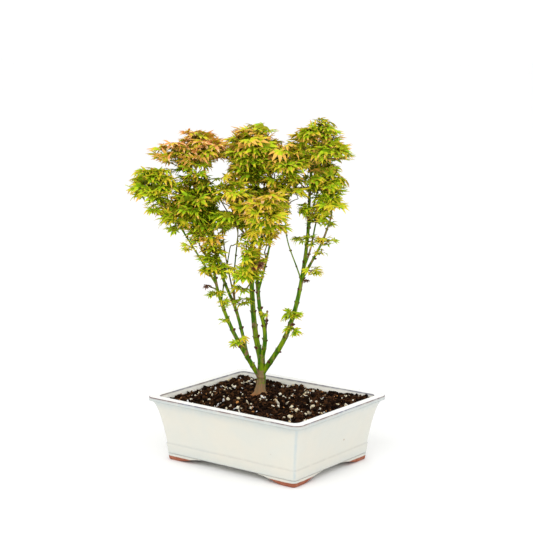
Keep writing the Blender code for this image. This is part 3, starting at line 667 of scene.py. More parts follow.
class Curve:
    """A smooth curve through given points, read by its length, with a tapering radius.

    Between two points it is a cubic Hermite curve. Its slope at a point leans to that of the
    shorter chord beside it.
    """

    def __init__(self, points: np.ndarray, root_radius: float, tip_radius: float,
                 spacing: float = 0.0005) -> None:
        """Sample the curve and measure the length along it.

        Args:
            points: Places that the curve passes through.
            root_radius: Radius of its rod at the first point.
            tip_radius: Radius at the last.
            spacing: Rough distance between samples.
        """
        points = np.asarray(points, float)
        chords = np.linalg.norm(np.diff(points, axis=0), axis=1)[:, None]
        slopes = np.diff(points, axis=0) / chords
        inner = (chords[1:] * slopes[:-1] + chords[:-1] * slopes[1:]) / (chords[1:] + chords[:-1])
        slopes = np.concatenate((slopes[:1], inner, slopes[-1:]))
        samples = []
        for number, chord in enumerate(chords[:, 0]):
            t = np.linspace(0.0, 1.0, max(2, int(chord / spacing)), endpoint=False)[:, None]
            ease = t * t * (3.0 - 2.0 * t)
            samples.append(points[number] * (1.0 - ease) + points[number + 1] * ease
                           + slopes[number] * chord * t * (1.0 - t) ** 2
                           - slopes[number + 1] * chord * t ** 2 * (1.0 - t))
        self.samples = np.concatenate([*samples, points[-1:]])
        steps = np.linalg.norm(np.diff(self.samples, axis=0), axis=1)
        self.marks = np.concatenate(([0.0], np.cumsum(steps)))
        self.length = float(self.marks[-1])
        self.root_radius = root_radius
        self.tip_radius = tip_radius

    def points(self, along: np.ndarray | float) -> np.ndarray:
        """Return the points at lengths along the curve."""
        return np.stack([np.interp(along, self.marks, self.samples[:, axis])
                         for axis in range(3)], axis=-1)

    def tangents(self, along: np.ndarray | float) -> np.ndarray:
        """Return the unit directions at lengths along the curve."""
        step = 0.001
        return unit(self.points(np.minimum(np.add(along, step), self.length))
                    - self.points(np.maximum(np.subtract(along, step), 0.0)))

    def radii(self, along: np.ndarray | float) -> np.ndarray:
        """Return the radii at lengths along the curve."""
        share = np.asarray(along, float) / self.length
        return self.root_radius + (self.tip_radius - self.root_radius) * share

    def at_height(self, height: float) -> float:
        """Return the length at which the curve first reaches a height."""
        return float(self.marks[np.argmax(self.samples[:, 2] >= height)])

    def tube(self, marks: np.ndarray, sides: int) -> tuple[np.ndarray, np.ndarray, np.ndarray]:
        """Return a tube's rings round the curve.

        Args:
            marks: Lengths at which rings stand.
            sides: Points in a ring.

        Returns:
            The centre of each ring, the unit way out to each of its points, and their angles.
        """
        tangents = self.tangents(marks)
        helper = np.array((0.0, 1.0, 0.0))
        first = unit(helper - tangents * (tangents @ helper)[:, None])
        second = np.cross(tangents, first)
        angles = circle(sides)
        out = (np.cos(angles)[None, :, None] * first[:, None, :]
               + np.sin(angles)[None, :, None] * second[:, None, :])
        return self.points(marks), out, angles


# Pot ----------------------------------------------------------------------------------------

@dataclass
class Pot:
    """Rectangular pot: banded foot, wall that sweeps out under a lip, and a flat rim."""

    length: float = 0.245
    width: float = 0.199
    height: float = 0.0853
    flare: float = 0.0193
    flare_power: float = 0.47
    corner: float = 0.011
    corner_ease: float = 0.25
    least_corner: float = 0.006
    lip_depth: float = 0.0050
    rim_width: float = 0.0110
    foot_height: float = 0.0088
    band_height: float = 0.0135
    band_step: float = 0.0009
    floor_thickness: float = 0.009
    wall_draft: float = 0.014
    edge_radius: float = 0.0009
    sway: float = 0.0012
    sway_length: float = 0.09
    still_rim: float = 0.020
    corner_line: float = 0.0003
    corner_line_start: tuple[float, float] = (0.010, 0.013)
    corner_line_fade: tuple[float, float] = (0.028, 0.016)
    corner_line_end: float = 0.002
    glaze: Glaze = Glaze()

    def wall_inset(self, height: np.ndarray | float) -> np.ndarray:
        """Return how far the outer wall stands in from the rim: a power curve under the lip."""
        top = self.height - self.lip_depth
        down = (top - np.asarray(height, float)) / (top - self.foot_height)
        return self.flare * np.clip(down, 0.0, 1.0) ** self.flare_power

    def inner_inset(self, height: float) -> float:
        """Return how far the inner wall stands in from the rim's outer edge."""
        down = (self.height - height) / (self.height - self.foot_height - self.floor_thickness)
        return self.rim_width + self.wall_draft * down

    def outline(self, insets: np.ndarray, steps: int = 10, sides: int = 14) -> np.ndarray:
        """Return rounded rectangles.

        Each is four straight sides and four quarter circles, drawn in from the rim by its
        inset. Straight sides carry points too, so that the glaze's masks can vary along them.

        Args:
            insets: How far each ring is drawn in.
            steps: Points on each corner's arc.
            sides: Points on each straight side.

        Returns:
            X and Y, one ring a row.
        """
        insets = np.asarray(insets, float)[:, None]
        corner = np.maximum(self.corner - insets * self.corner_ease, self.least_corner)
        half_x = self.length / 2 - insets - corner
        half_y = self.width / 2 - insets - corner
        quarters = []
        for quarter in range(4):
            sign_x = 1 if quarter in (0, 3) else -1
            sign_y = 1 if quarter in (0, 1) else -1
            angle = (quarter + np.linspace(0.0, 1.0, steps)) * math.pi / 2
            arc_x = sign_x * half_x + corner * np.cos(angle)
            arc_y = sign_y * half_y + corner * np.sin(angle)
            next_x = sign_x if quarter in (1, 3) else -sign_x
            next_y = sign_y if quarter in (0, 2) else -sign_y
            share = np.linspace(0.0, 1.0, sides + 2)[1:-1]
            last = (quarter + 1) * math.pi / 2
            to_x = next_x * half_x + corner * math.cos(last)
            to_y = next_y * half_y + corner * math.sin(last)
            side_x = arc_x[:, -1:] * (1 - share) + to_x * share
            side_y = arc_y[:, -1:] * (1 - share) + to_y * share
            quarters.append(np.stack((np.concatenate((arc_x, side_x), axis=1),
                                      np.concatenate((arc_y, side_y), axis=1)), axis=-1))
        return np.concatenate(quarters, axis=1)

    def profile(self) -> tuple[np.ndarray, np.ndarray, np.ndarray, np.ndarray]:
        """Return the pot's section as (insets, heights, arris, pool), from under floor to floor.

        The outer wall follows wall_inset. Lip and rim edges are quarter circles of the edge
        radius. Arris is 1 on an edge that breaks the glaze, pool is 1 where it gathers.

        Returns:
            Four rows of numbers, one number for each ring.
        """
        band_top = self.foot_height + self.band_height
        under = self.height - self.lip_depth
        base = float(self.wall_inset(self.foot_height))
        rows = [(base + 0.03, self.foot_height, 0, 0), (base + 0.004, self.foot_height, 0, 0),
                (base - self.band_step + 0.0008, self.foot_height, 0.1, 0.5),
                (base - self.band_step, self.foot_height + 0.0008, 0.15, 0.7)]
        for share in np.linspace(0.12, 0.9, 6):
            height = self.foot_height + share * self.band_height
            inset = base + (float(self.wall_inset(band_top)) - base) * share - self.band_step
            rows.append((inset, height, 0, 0.55 * (1 - share) ** 2))
        rows.append((float(self.wall_inset(band_top - 0.0006)) - self.band_step,
                     band_top - 0.0007, 0.05, 0.0))
        rows.append((float(self.wall_inset(band_top)) - 0.35 * self.band_step, band_top,
                     0.17, 0.05))
        for share in np.sin(0.5 * math.pi * np.linspace(0.03, 1.0, 26)):
            height = band_top + (under - band_top) * share
            pool = 0.20 * max(0.0, 1 - share / 0.06) + 0.75 * float(smoothstep(0.78, 0.99, share))
            rows.append((float(self.wall_inset(height)), height, 0, pool))
        radius = self.edge_radius
        for share in np.linspace(0.0, 1.0, 5):
            turn = share * math.pi / 2
            rows.append((0.6 * radius * (1 - math.sin(turn)),
                         under + radius * (1 - math.cos(turn)), 0.0, 0.9))
        rows.append((0.0, self.height - 1.9 * radius, 0.25, 0.7))
        for share in np.linspace(0.0, 1.0, 6):
            turn = share * math.pi / 2
            rows.append((radius * (1 - math.cos(turn)),
                         self.height - radius + radius * math.sin(turn), 1 - share ** 2, 0.6))
        rows.append((radius + 0.0005, self.height, 0.0, 0.0))
        for share in np.linspace(0.12, 0.9, 5):
            rows.append((radius + (self.rim_width - 2 * radius) * share, self.height, 0, 0))
        rows.append((self.rim_width - radius - 0.0005, self.height, 0.0, 0.0))
        for share in np.linspace(0.0, 1.0, 5):
            turn = share * math.pi / 2
            rows.append((self.rim_width - radius + radius * math.sin(turn),
                         self.height - radius * (1 - math.cos(turn)), share, 0.4))
        rows.append((self.rim_width + 0.0001, self.height - radius - 0.0005, 0.6, 0.4))
        floor = self.foot_height + self.floor_thickness
        for height in np.linspace(self.height - 0.003, floor, 6):
            rows.append((self.inner_inset(height), height, 0, 0.15))
        insets, heights, arris, pool = np.array(rows).T
        return insets, heights, arris, pool

    def build(self) -> None:
        """Carry the profile round the outline and close it under and inside with flat floors."""
        insets, heights, arris, pool = self.profile()
        rings = self.outline(insets)
        count = rings.shape[1]
        points = raised(rings, heights)
        still = heights[:, None] >= self.height - self.still_rim
        sway = np.where(still, 0.0, self.sway * ripple(points, self.sway_length, 4))
        points[..., :2] *= 1 + sway[..., None]
        strength = 1.0 + 0.5 * smoothstep(*self.corner_line_fade, heights)
        pools = np.maximum(pool[:, None], self.corner_mask(rings) * strength[:, None]
                           * smoothstep(*self.corner_line_start, heights)[:, None]
                           * (heights[:, None] < self.height - self.corner_line_end))
        # Rows of the inner wall, where painted light lightens the glaze.
        past_rim = np.cumsum(heights >= self.height - 1e-9) > 0
        painted_light_wall = past_rim & (heights < self.height - self.edge_radius)
        poles = np.array(((0.0, 0.0, heights[0]), (0.0, 0.0, heights[-1])))
        shape = Surface()
        shape.add(np.concatenate((points.reshape(-1, 3), poles)) + pot_middle(),
                  tube_faces(len(insets), count), pool=tube_mask(pools, count),
                  arris=tube_mask(arris, count), inside=tube_mask(painted_light_wall, count))
        piece = shape.to_piece("glazed_pot", [self.glaze.material("cream_glaze", 0.0)])
        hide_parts("pot")

    def corner_mask(self, rings: np.ndarray) -> np.ndarray:
        """Return 1 at the middle of each rounded corner, falling to 0 on the straight sides."""
        half = np.abs(rings)
        gap = (half.max(axis=1, keepdims=True) - half).sum(axis=-1)
        return np.exp(-((gap - gap.min(axis=1, keepdims=True)) / self.corner_line) ** 2)


@dataclass
class Feet:
    """Four bracket feet that run out of the wall; the glaze stops short of the ground."""

    pot: Pot
    arm: float = 0.057
    lead: float = 0.038
    breadth: float = 0.010
    toe: float = 0.0004
    batter: float = 0.0012
    gap: float = 0.0003
    edge: float = 0.0022
    bare_height: float = 0.0056
    names: tuple[tuple[str, int, int], ...] = (
        ("foot_back_right", 1, 1), ("foot_back_left", -1, 1), ("foot_front_right", 1, -1),
        ("foot_front_left", -1, -1))

    def path(self) -> tuple[np.ndarray, np.ndarray, np.ndarray]:
        """Return one corner's outer edge.

        It is a straight arm, a quarter circle and a second arm.

        Returns:
            Points, outward normals, and the distance of each from the corner along its arm.
        """
        inset = float(self.pot.wall_inset(self.pot.foot_height)) - self.pot.band_step
        half_x, half_y = self.pot.length / 2 - inset, self.pot.width / 2 - inset
        corner = max(self.pot.corner - inset * self.pot.corner_ease, self.pot.least_corner)
        run = self.arm - (self.arm - corner) * np.linspace(0.0, 1.0, 44) ** 1.1
        turn = np.linspace(math.pi / 2, 0.0, 14)[1:-1]
        arc = np.stack((half_x - corner + corner * np.cos(turn),
                        half_y - corner + corner * np.sin(turn)), axis=-1)
        first = np.stack((half_x - run, np.full_like(run, half_y)), axis=-1)
        second = np.stack((np.full_like(run, half_x), half_y - run), axis=-1)[::-1]
        normals = np.concatenate((np.tile((0.0, 1.0), (len(run), 1)),
                                  np.stack((np.cos(turn), np.sin(turn)), axis=-1),
                                  np.tile((1.0, 0.0), (len(run), 1))))
        along = np.concatenate((run, np.full(len(turn), corner), run[::-1]))
        return np.concatenate((first, arc, second)), normals, along

    def section(self, rise: np.ndarray, breadth: np.ndarray, top: float) -> np.ndarray:
        """Return the section at each station: (inset, height) round a rectangle.

        Its outer face leans in by the batter and its two lower edges are quarter circles.

        Args:
            rise: Height of the underside at each station.
            breadth: Breadth of the foot at each station.
            top: Height of its top.

        Returns:
            One ring of pairs for each station.
        """
        turn = np.linspace(0.0, math.pi / 2, 6)
        edge = np.minimum(self.edge, 0.42 * (top - rise))[:, None]
        lean = (self.batter * (top - rise) / top)[:, None]
        down = np.linspace(0.0, 1.0, 6)[None, :-1]
        wall_up = top - (top - rise[:, None] - edge) * down
        wall_in = lean * down
        outer_in = lean + edge * (1 - np.cos(turn))
        outer_up = rise[:, None] + edge * (1 - np.sin(turn))
        inner_in = breadth[:, None] - edge * (1 - np.cos(turn))
        inner_up = rise[:, None] + edge * (1 - np.sin(turn))
        insets = np.concatenate((wall_in, outer_in, inner_in[:, ::-1], breadth[:, None]), axis=1)
        heights = np.concatenate((wall_up, outer_up, inner_up[:, ::-1],
                                  np.full_like(breadth, top)[:, None]), axis=1)
        return np.stack((insets, heights), axis=-1)

    def build(self) -> None:
        """Sweep the section round each corner, and mirror it to the other corners by sign.

        The underside at distance s from the corner rises by a smooth step over the lead.
        """
        points, normals, along = self.path()
        top = self.pot.foot_height - self.gap
        corner = along.min()
        free = smoothstep(0.0, 1.0, (self.arm - along) / self.lead)
        rise = (top - self.toe) * (1 - free)
        breadth = np.where(along <= corner + 1e-9, corner * 0.9, self.breadth)
        rings = self.section(rise, breadth, top)
        count = rings.shape[1]
        plan = points[:, None, :] - normals[:, None, :] * rings[..., :1]
        body = np.concatenate((plan, rings[..., 1:]), axis=-1)
        material = Glaze().material("glazed_foot", self.bare_height)
        for name, sign_x, sign_y in self.names:
            signed = body * (sign_x, sign_y, 1)
            grid = grid_faces(len(rings), count)
            last = (len(rings) - 1) * count
            caps = [np.arange(count)[None, ::-1], (last + np.arange(count))[None, :]]
            if sign_x * sign_y > 0:
                grid, caps = grid[:, ::-1], [cap[:, ::-1] for cap in caps]
            shape = Surface()
            shape.add(signed.reshape(-1, 3) + pot_middle(), [grid, *caps], 0,
                      pool=np.repeat(0.55 * np.exp(-((along - corner) / 0.004) ** 2), count),
                      arris=0.0, inside=0.0)
            piece = shape.to_piece("glazed_" + name, [material])
            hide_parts(name)


# Soil ---------------------------------------------------------------------------------------

@dataclass(frozen=True)
class Scatter:
    """One kind of loose stuff on the soil, how it gathers at the pale spots and lies on top."""

    name: str
    number: int
    smallest: float
    largest: float
    stretch: tuple[float, float, float]
    colours: tuple[Colour, ...]
    roughness: float = 0.9
    gathers: float = 0.0
    rise: float = 0.0


@dataclass
class Soil:
    """A lumpy bed of peat under loose crumbs, bark strips, perlite grains and tan chips."""

    pot: Pot
    plant: PlantFrame
    height: float = 0.0797
    sag: float = 0.0022
    heap: tuple[float, float, float] = (0.095, 0.072, 0.0034)
    heap_reach: float = 0.026
    lumps: tuple[tuple[float, float], ...] = ((0.0014, 0.024), (0.0014, 0.011), (0.0008, 0.0045))
    sink: float = 0.0005
    flat_edge: tuple[float, float] = (0.0, 0.03)
    flat_foot: tuple[float, float] = (1.0, 0.93)
    pale_spots: tuple[tuple[float, float], ...] = (
        (-0.080, 0.022), (-0.071, 0.056), (-0.040, -0.030), (-0.038, -0.063), (-0.008, -0.064),
        (0.003, -0.038), (-0.002, -0.004), (-0.022, 0.068), (0.012, 0.062), (0.030, 0.038),
        (0.012, 0.014), (0.050, 0.028), (0.060, -0.019), (0.068, 0.012), (0.090, -0.012),
        (0.086, -0.055), (0.085, 0.040))
    pale_reach: float = 0.009
    stray: float = 0.0012
    bare_round_trunk: float = 0.0095
    dent: float = 0.16
    gap: float = 0.00045
    rows: int = 60
    seed: int = 5
    peat: Peat = Peat()
    kinds: tuple[Scatter, ...] = (
        Scatter("crumbs", 5400, 0.0010, 0.0038, (1.0, 0.80, 0.65),
                ((0.011, 0.005, 0.002), (0.027, 0.011, 0.005), (0.062, 0.026, 0.010),
                 (0.006, 0.003, 0.002))),
        Scatter("bark_strips", 2100, 0.0018, 0.0078, (1.0, 0.17, 0.11),
                ((0.045, 0.018, 0.007), (0.112, 0.047, 0.018), (0.012, 0.005, 0.003),
                 (0.200, 0.094, 0.040))),
        Scatter("perlite", 145, 0.0012, 0.0029, (1.0, 0.90, 0.80),
                ((0.80, 0.72, 0.52), (0.70, 0.56, 0.34), (0.86, 0.80, 0.64)), 0.8, 11.0, 0.0012),
        Scatter("white_flakes", 145, 0.0016, 0.0050, (1.0, 0.50, 0.22),
                ((0.84, 0.78, 0.64), (0.74, 0.66, 0.48), (0.86, 0.86, 0.88)), 0.8, 9.0, 0.0015),
        Scatter("tan_chips", 90, 0.0011, 0.0031, (1.0, 0.7, 0.45),
                ((0.55, 0.25, 0.08), (0.40, 0.20, 0.09)), rise=0.0010),
    )

    def bed(self) -> np.ndarray:
        """Return the bed's rings: up the pot's inner wall, then in towards the trunk.

        A ring at share s of the way in is the wall's outline shrunk to 1 - s round the trunk's
        foot. Its height is the edge height, a low mound and three sizes of lump.

        Returns:
            The ring points.
        """
        edge = self.height - self.sag
        floor = self.pot.foot_height + self.pot.floor_thickness + 0.0003
        walls = np.array((floor, 0.5 * (floor + edge), edge))
        insets = [self.pot.inner_inset(height) + self.gap for height in walls]
        rings = self.pot.outline(np.array(insets), steps=8, sides=40)
        share = np.linspace(0.0, 1.0, self.rows)[1:] ** 1.1
        foot = np.array(self.plant.foot)
        plan = foot + (rings[2][None] - foot) * (1 - share[:, None, None] * 0.985)
        flat = raised(plan, np.zeros(len(plan)))
        lumps = sum(rise * ripple(flat, length, number)
                    for number, (rise, length) in enumerate(self.lumps, 1))
        keep = (smoothstep(*self.flat_edge, share) * smoothstep(*self.flat_foot, share))[:, None]
        mound = self.sag * (1 - np.clip((1 - share) / 0.8, 0, 1) ** 2)[:, None]
        from_heap = np.linalg.norm(flat[..., :2] - self.heap[:2], axis=-1)
        heap = self.heap[2] * np.exp(-(from_heap / self.heap_reach) ** 2)
        flat[..., 2] = edge + mound + heap + (lumps - self.sink) * keep
        return np.concatenate((raised(rings, walls), flat))

    def grain(self) -> tuple[np.ndarray, np.ndarray]:
        """Make a rough pebble of twelve points and twenty faces, about one unit across.

        Returns:
            Its points and its faces.
        """
        ratio = (1 + math.sqrt(5)) / 2
        points = np.array([(-1, ratio, 0), (1, ratio, 0), (-1, -ratio, 0), (1, -ratio, 0),
                           (0, -1, ratio), (0, 1, ratio), (0, -1, -ratio), (0, 1, -ratio),
                           (ratio, 0, -1), (ratio, 0, 1), (-ratio, 0, -1), (-ratio, 0, 1)], float)
        faces = np.array([(0, 11, 5), (0, 5, 1), (0, 1, 7), (0, 7, 10), (0, 10, 11), (1, 5, 9),
                          (5, 11, 4), (11, 10, 2), (10, 7, 6), (7, 1, 8), (3, 9, 4), (3, 4, 2),
                          (3, 2, 6), (3, 6, 8), (3, 8, 9), (4, 9, 5), (2, 4, 11), (6, 2, 10),
                          (8, 6, 7), (9, 8, 1)])
        return unit(points), faces

    def scatter(self, kind: Scatter, top: np.ndarray, chance: np.random.Generator) -> None:
        """Strew one kind over the bed, each grain turned, stretched and dented at random.

        Args:
            kind: What is strewn.
            top: Points of the bed's top.
            chance: Source of the random numbers.
        """
        points, faces = self.grain()
        apart = np.linalg.norm(top[:, None, :2] - np.array(self.pale_spots), axis=2).min(axis=1)
        share = 1.0 + kind.gathers * np.exp(-(apart / self.pale_reach) ** 2)
        spots = top[chance.choice(len(top), kind.number, p=share / share.sum())]
        spots = spots + chance.normal(0.0, self.stray, spots.shape) * (1, 1, 0)
        clear = np.linalg.norm(spots[:, :2] - self.plant.foot, axis=1) > self.bare_round_trunk
        inset = self.pot.inner_inset(self.height - self.sag) + self.gap + self.stray
        inside = (np.abs(spots[:, 0]) < self.pot.length / 2 - inset) & (
            np.abs(spots[:, 1]) < self.pot.width / 2 - inset)
        spots = spots[clear & inside]
        number = len(spots)
        span = kind.largest - kind.smallest
        sizes = chance.uniform(0, 1, number) ** 2.0 * span + kind.smallest
        dents = 1 + chance.normal(0.0, self.dent, (number, len(points), 1))
        shapes = points[None] * dents * kind.stretch
        turns = self.turns(number, chance, 0.5 if kind.stretch[1] < 0.5 else 1.5)
        shapes = np.einsum("nij,nkj->nki", turns, shapes) * sizes[:, None, None]
        lift = sizes * kind.stretch[2] * chance.uniform(0.1, 0.8, number) + kind.rise
        places = shapes + spots[:, None, :] + np.outer(lift, (0, 0, 1))[:, None, :]
        every = copied(faces, number, len(points))
        picks = np.repeat(chance.integers(0, len(kind.colours), number), len(faces))
        shape = Surface()
        shape.add(places.reshape(-1, 3) + pot_middle(), [every], [picks])
        colours = [PlainFinish(f"{kind.name}_{shade}", colour, kind.roughness, 0.04).material()
                   for shade, colour in enumerate(kind.colours)]
        piece = shape.to_piece("soil_" + kind.name, colours, smooth=False)
        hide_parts("soil")

    @staticmethod
    def turns(number: int, chance: np.random.Generator, tip: float) -> np.ndarray:
        """Return random turns: any way round the vertical, then tipped by up to an angle.

        Args:
            number: How many.
            chance: Source of the random numbers.
            tip: Largest tip in radians.

        Returns:
            Matrices of three by three.
        """
        spin = chance.uniform(0, 2 * math.pi, number)
        lean = chance.uniform(-tip, tip, number)
        zero, one = np.zeros(number), np.ones(number)
        around = np.stack((np.cos(spin), -np.sin(spin), zero, np.sin(spin), np.cos(spin), zero,
                           zero, zero, one), axis=-1).reshape(-1, 3, 3)
        tipped = np.stack((np.cos(lean), zero, np.sin(lean), zero, one, zero,
                           -np.sin(lean), zero, np.cos(lean)), axis=-1).reshape(-1, 3, 3)
        return around @ tipped

    def build(self) -> None:
        """Build the bed and strew every kind over it."""
        rings = self.bed()
        rows, count = rings.shape[:2]
        flat = rings.reshape(-1, 3)
        foot = np.array((*self.plant.foot, flat[-1, 2]))
        poles = np.array(((0.0, 0.0, flat[0, 2]), foot))
        shape = Surface()
        shape.add(np.concatenate((flat, poles)) + pot_middle(), tube_faces(rows, count))
        piece = shape.to_piece("soil_bed", [self.peat.material()])
        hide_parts("soil")
        chance = np.random.default_rng(self.seed)
        top = self.even_top(rings[3:], chance)
        for kind in self.kinds:
            self.scatter(kind, top, chance)

    @staticmethod
    def even_top(rings: np.ndarray, chance: np.random.Generator) -> np.ndarray:
        """Return points of the top, thinned towards the foot so that they lie evenly."""
        spacing = np.linalg.norm(rings - rings.mean(axis=1, keepdims=True), axis=2)
        keep = chance.uniform(0, 1, spacing.shape) < spacing / spacing.max()
        return rings[keep]


# Stems --------------------------------------------------------------------------------------

@dataclass(frozen=True)
class Limb:
    """One tapering stem: its parent, where it leaves it, its bends and its radii."""

    name: str
    parent: str
    leaves_at: float
    bends: tuple[tuple[float, float, float], ...]
    root_radius: float
    tip_radius: float


LIMBS = (
    Limb("left_outer_stem", "trunk", .1, (
        (-.015, -.006, .128), (-.037, -.014, .171), (-.056, -.022, .229), (-.059, -.024, .248)),
        .0034, .0017),
    Limb("left_inner_stem", "left_outer_stem", .131, (
        (-.02, -.005, .146), (-.031, .002, .189), (-.051, .013, .238), (-.067, .023, .32),
        (-.073, .016, .375)), .0024, .0013),
    Limb("far_left_stem", "left_outer_stem", .23, (
        (-.074, -.023, .26), (-.102, -.019, .304)), .0013, .0009),
    Limb("left_whip", "left_outer_stem", .206, (
        (-.048, -.015, .224), (-.04, -.008, .272)), .001, .0007),
    Limb("inner_whip", "left_inner_stem", .193, (
        (-.034, -.002, .213), (-.034, -.006, .238), (-.029, -.018, .291)), .0011, .0008),
    Limb("centre_stem", "trunk", .122, (
        (-.006, .005, .156), (-.011, .012, .206), (-.01, .021, .309), (-.008, .016, .362)), .004,
        .0019),
    Limb("middle_stem", "trunk", .122, (
        (.006, -.009, .16), (.0044, -.01, .176), (-.0003, -.012, .195), (-.0025, -.012, .213),
        (-.004, -.006, .258), (.018, .003, .33), (.028, -.006, .363)), .0031, .0013),
    Limb("front_stem", "middle_stem", .219, (
        (.007, -.031, .259), (.016, -.053, .302)), .0017, .0011),
    Limb("dead_stub", "middle_stem", .158, (
        (.0078, -.012, .176), (.009, -.015, .1945)), .0017, .0013),
    Limb("right_stem", "trunk", .107, (
        (.0142, -.003, .127), (.0302, -.008, .1545), (.0435, -.01, .191), (.054, -.004, .238),
        (.061, .006, .29), (.064, .005, .357), (.068, .001, .4)), .0037, .0013),
    Limb("slender_stem", "right_stem", .233, (
        (.048, -.006, .248), (.034, -.009, .291), (.032, -.01, .314)), .001, .0007),
    Limb("right_twin_stem", "right_stem", .246, (
        (.064, -.003, .272), (.071, .007, .304)), .0014, .001),
    Limb("right_outer_stem", "right_stem", .234, (
        (.064, -.012, .255), (.08, -.017, .287), (.089, -.016, .312)), .0019, .0012),
    Limb("back_left_stem", "left_inner_stem", .269, (
        (-.064, .028, .287), (-.073, .056, .341), (-.075, .064, .368)), .0014, .001),
    Limb("back_centre_stem", "centre_stem", .22, (
        (-.011, .038, .274), (-.008, .06, .325), (-.01, .067, .352)), .0018, .0011),
    Limb("back_right_stem", "right_stem", .258, (
        (.062, .028, .291), (.074, .055, .341), (.079, .062, .357)), .0015, .001),
)


@dataclass
class Stems:
    """Trunk and stems: tubes with swollen, ringed nodes, paired buds and a lobed root flare."""

    plant: PlantFrame
    soil_height: float = 0.0797
    trunk_bends: tuple[tuple[float, float, float], ...] = (
        (0.0, 0.0, 0.084), (0.001, 0.0, 0.106), (0.001, 0.0, 0.131))
    trunk_root_radius: float = 0.0066
    trunk_top_radius: float = 0.0047
    root_flare: float = 0.0080
    flare_rise: float = 0.0042
    flare_lobes: int = 5
    flare_phase: float = 0.6
    ring_step: float = 0.0010
    sides: int = 20
    node_spacing: float = 0.018
    node_width: float = 0.0007
    knee_width: float = 0.0021
    knee_rise: float = 0.10
    ring_rise: float = 0.00012
    stub_knob: float = 0.66
    stub_knob_width: float = 0.055
    first_node: float = 0.012
    last_node_gap: float = 0.003
    trunk_node: float = 0.027
    trunk_old: tuple[float, float] = (0.028, 0.012)
    limb_old: tuple[float, float] = (0.010, 0.0)
    fork_spread: float = 0.30
    fork_length: float = 0.004
    relief_length: float = 0.0028
    bud_size: float = 0.0012
    seed: int = 21
    bark: Bark = Bark()
    dead: DeadWood = DeadWood()

    def curves(self) -> dict[str, Curve]:
        """Lay out every limb, each starting on its parent's centre line.

        Returns:
            Their curves by name.
        """
        foot = (0.0, 0.0, self.soil_height - 0.003)
        trunk = self.plant.place(np.array((foot, *self.trunk_bends)))
        made = {"trunk": Curve(trunk, self.trunk_root_radius, self.trunk_top_radius)}
        for limb in LIMBS:
            parent = made[limb.parent]
            root = parent.points(parent.at_height(limb.leaves_at))
            bends = self.plant.place(np.array(limb.bends))
            made[limb.name] = Curve(np.concatenate((root[None], bends)), limb.root_radius,
                                    limb.tip_radius)
        return made

    def nodes(self, curve: Curve, chance: np.random.Generator) -> np.ndarray:
        """Space a limb's nodes unevenly.

        Args:
            curve: The limb's centre line.
            chance: Source of the random numbers.

        Returns:
            The lengths along it at which they stand.
        """
        count = max(1, int((curve.length - 0.008) / self.node_spacing))
        steps = self.node_spacing * chance.uniform(0.65, 1.35, count)
        marks = self.first_node + np.cumsum(steps) - steps[0] * 0.5
        return marks[marks < curve.length - self.last_node_gap]

    def limb(self, name: str, curve: Curve, nodes: np.ndarray) -> None:
        """Make one limb.

        The ring at length m has the curve's radius, a bell at each node, a spread root
        exp(-m / fork_length) where it joins its parent, fine relief, and a round end. The trunk's
        root flare is a decaying ring with cosine lobes.

        Args:
            name: The limb's node name.
            curve: Its centre line.
            nodes: Lengths at which its nodes stand.
        """
        count = max(8, int(curve.length / self.ring_step))
        marks = np.concatenate((np.linspace(0.0, curve.length, count),
                                curve.length + np.array((0.3, 0.6, 0.85)) * curve.tip_radius))
        held = np.minimum(marks, curve.length)
        centres, out, angles = curve.tube(held, self.sides)
        past = np.maximum(marks - curve.length, 0.0)
        centres = centres + curve.tangents(held) * past[:, None]
        bells = np.exp(-((marks[:, None] - nodes[None, :]) / self.node_width) ** 2).sum(axis=1)
        wide = np.exp(-((marks[:, None] - nodes[None, :]) / self.knee_width) ** 2).sum(axis=1)
        radii = curve.radii(held) * (1 + self.knee_rise * wide) + self.ring_rise * bells
        radii = radii * np.sqrt(np.maximum(1 - (past / curve.tip_radius) ** 2, 0.0))
        radii = radii[:, None] * np.ones(self.sides)
        flare = np.zeros(len(marks))
        if name == "trunk":
            flare = np.exp(-np.maximum(marks - 0.003, 0.0) / self.flare_rise)
            lobes = (0.50 + 0.35 * np.cos(self.flare_lobes * angles + self.flare_phase)
                     + 0.15 * np.cos(3 * angles))
            radii = radii + self.root_flare * flare[:, None] * lobes
            old = 1.35 * smoothstep(*self.trunk_old, marks) - 0.35
        elif name == "dead_stub":
            share = held / curve.length
            knob = np.exp(-((share - self.stub_knob) / self.stub_knob_width) ** 2)
            radii = radii * (0.62 + 1.05 * knob + 0.55 * smoothstep(0.90, 1.0, share))[:, None]
            old = smoothstep(self.stub_knob + 0.04, self.stub_knob + 0.12, share)
        else:
            radii = radii * (1 + self.fork_spread * np.exp(-marks / self.fork_length))[:, None]
            old = 0.20 * smoothstep(*self.limb_old, marks)
        points = centres[:, None, :] + out * radii[..., None]
        relief = ripple(points * (1, 1, 0.35), self.relief_length, 8)
        points = points + out * (relief * (0.02 + 0.05 * old[:, None]) * radii)[..., None]
        end = centres[-1] + curve.tangents(curve.length) * 0.15 * curve.tip_radius
        shape = Surface()
        shape.add(np.concatenate((points.reshape(-1, 3), centres[:1], end[None])),
                  tube_faces(len(marks), self.sides),
                  node=tube_mask(np.clip(bells, 0, 1), self.sides),
                  old=tube_mask(old, self.sides),
                  flare=tube_mask(np.clip(flare, 0, 1), self.sides))
        material = self.dead_material if name == "dead_stub" else self.bark_material
        piece = shape.to_piece("bark_" + name, [material])
        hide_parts(name)

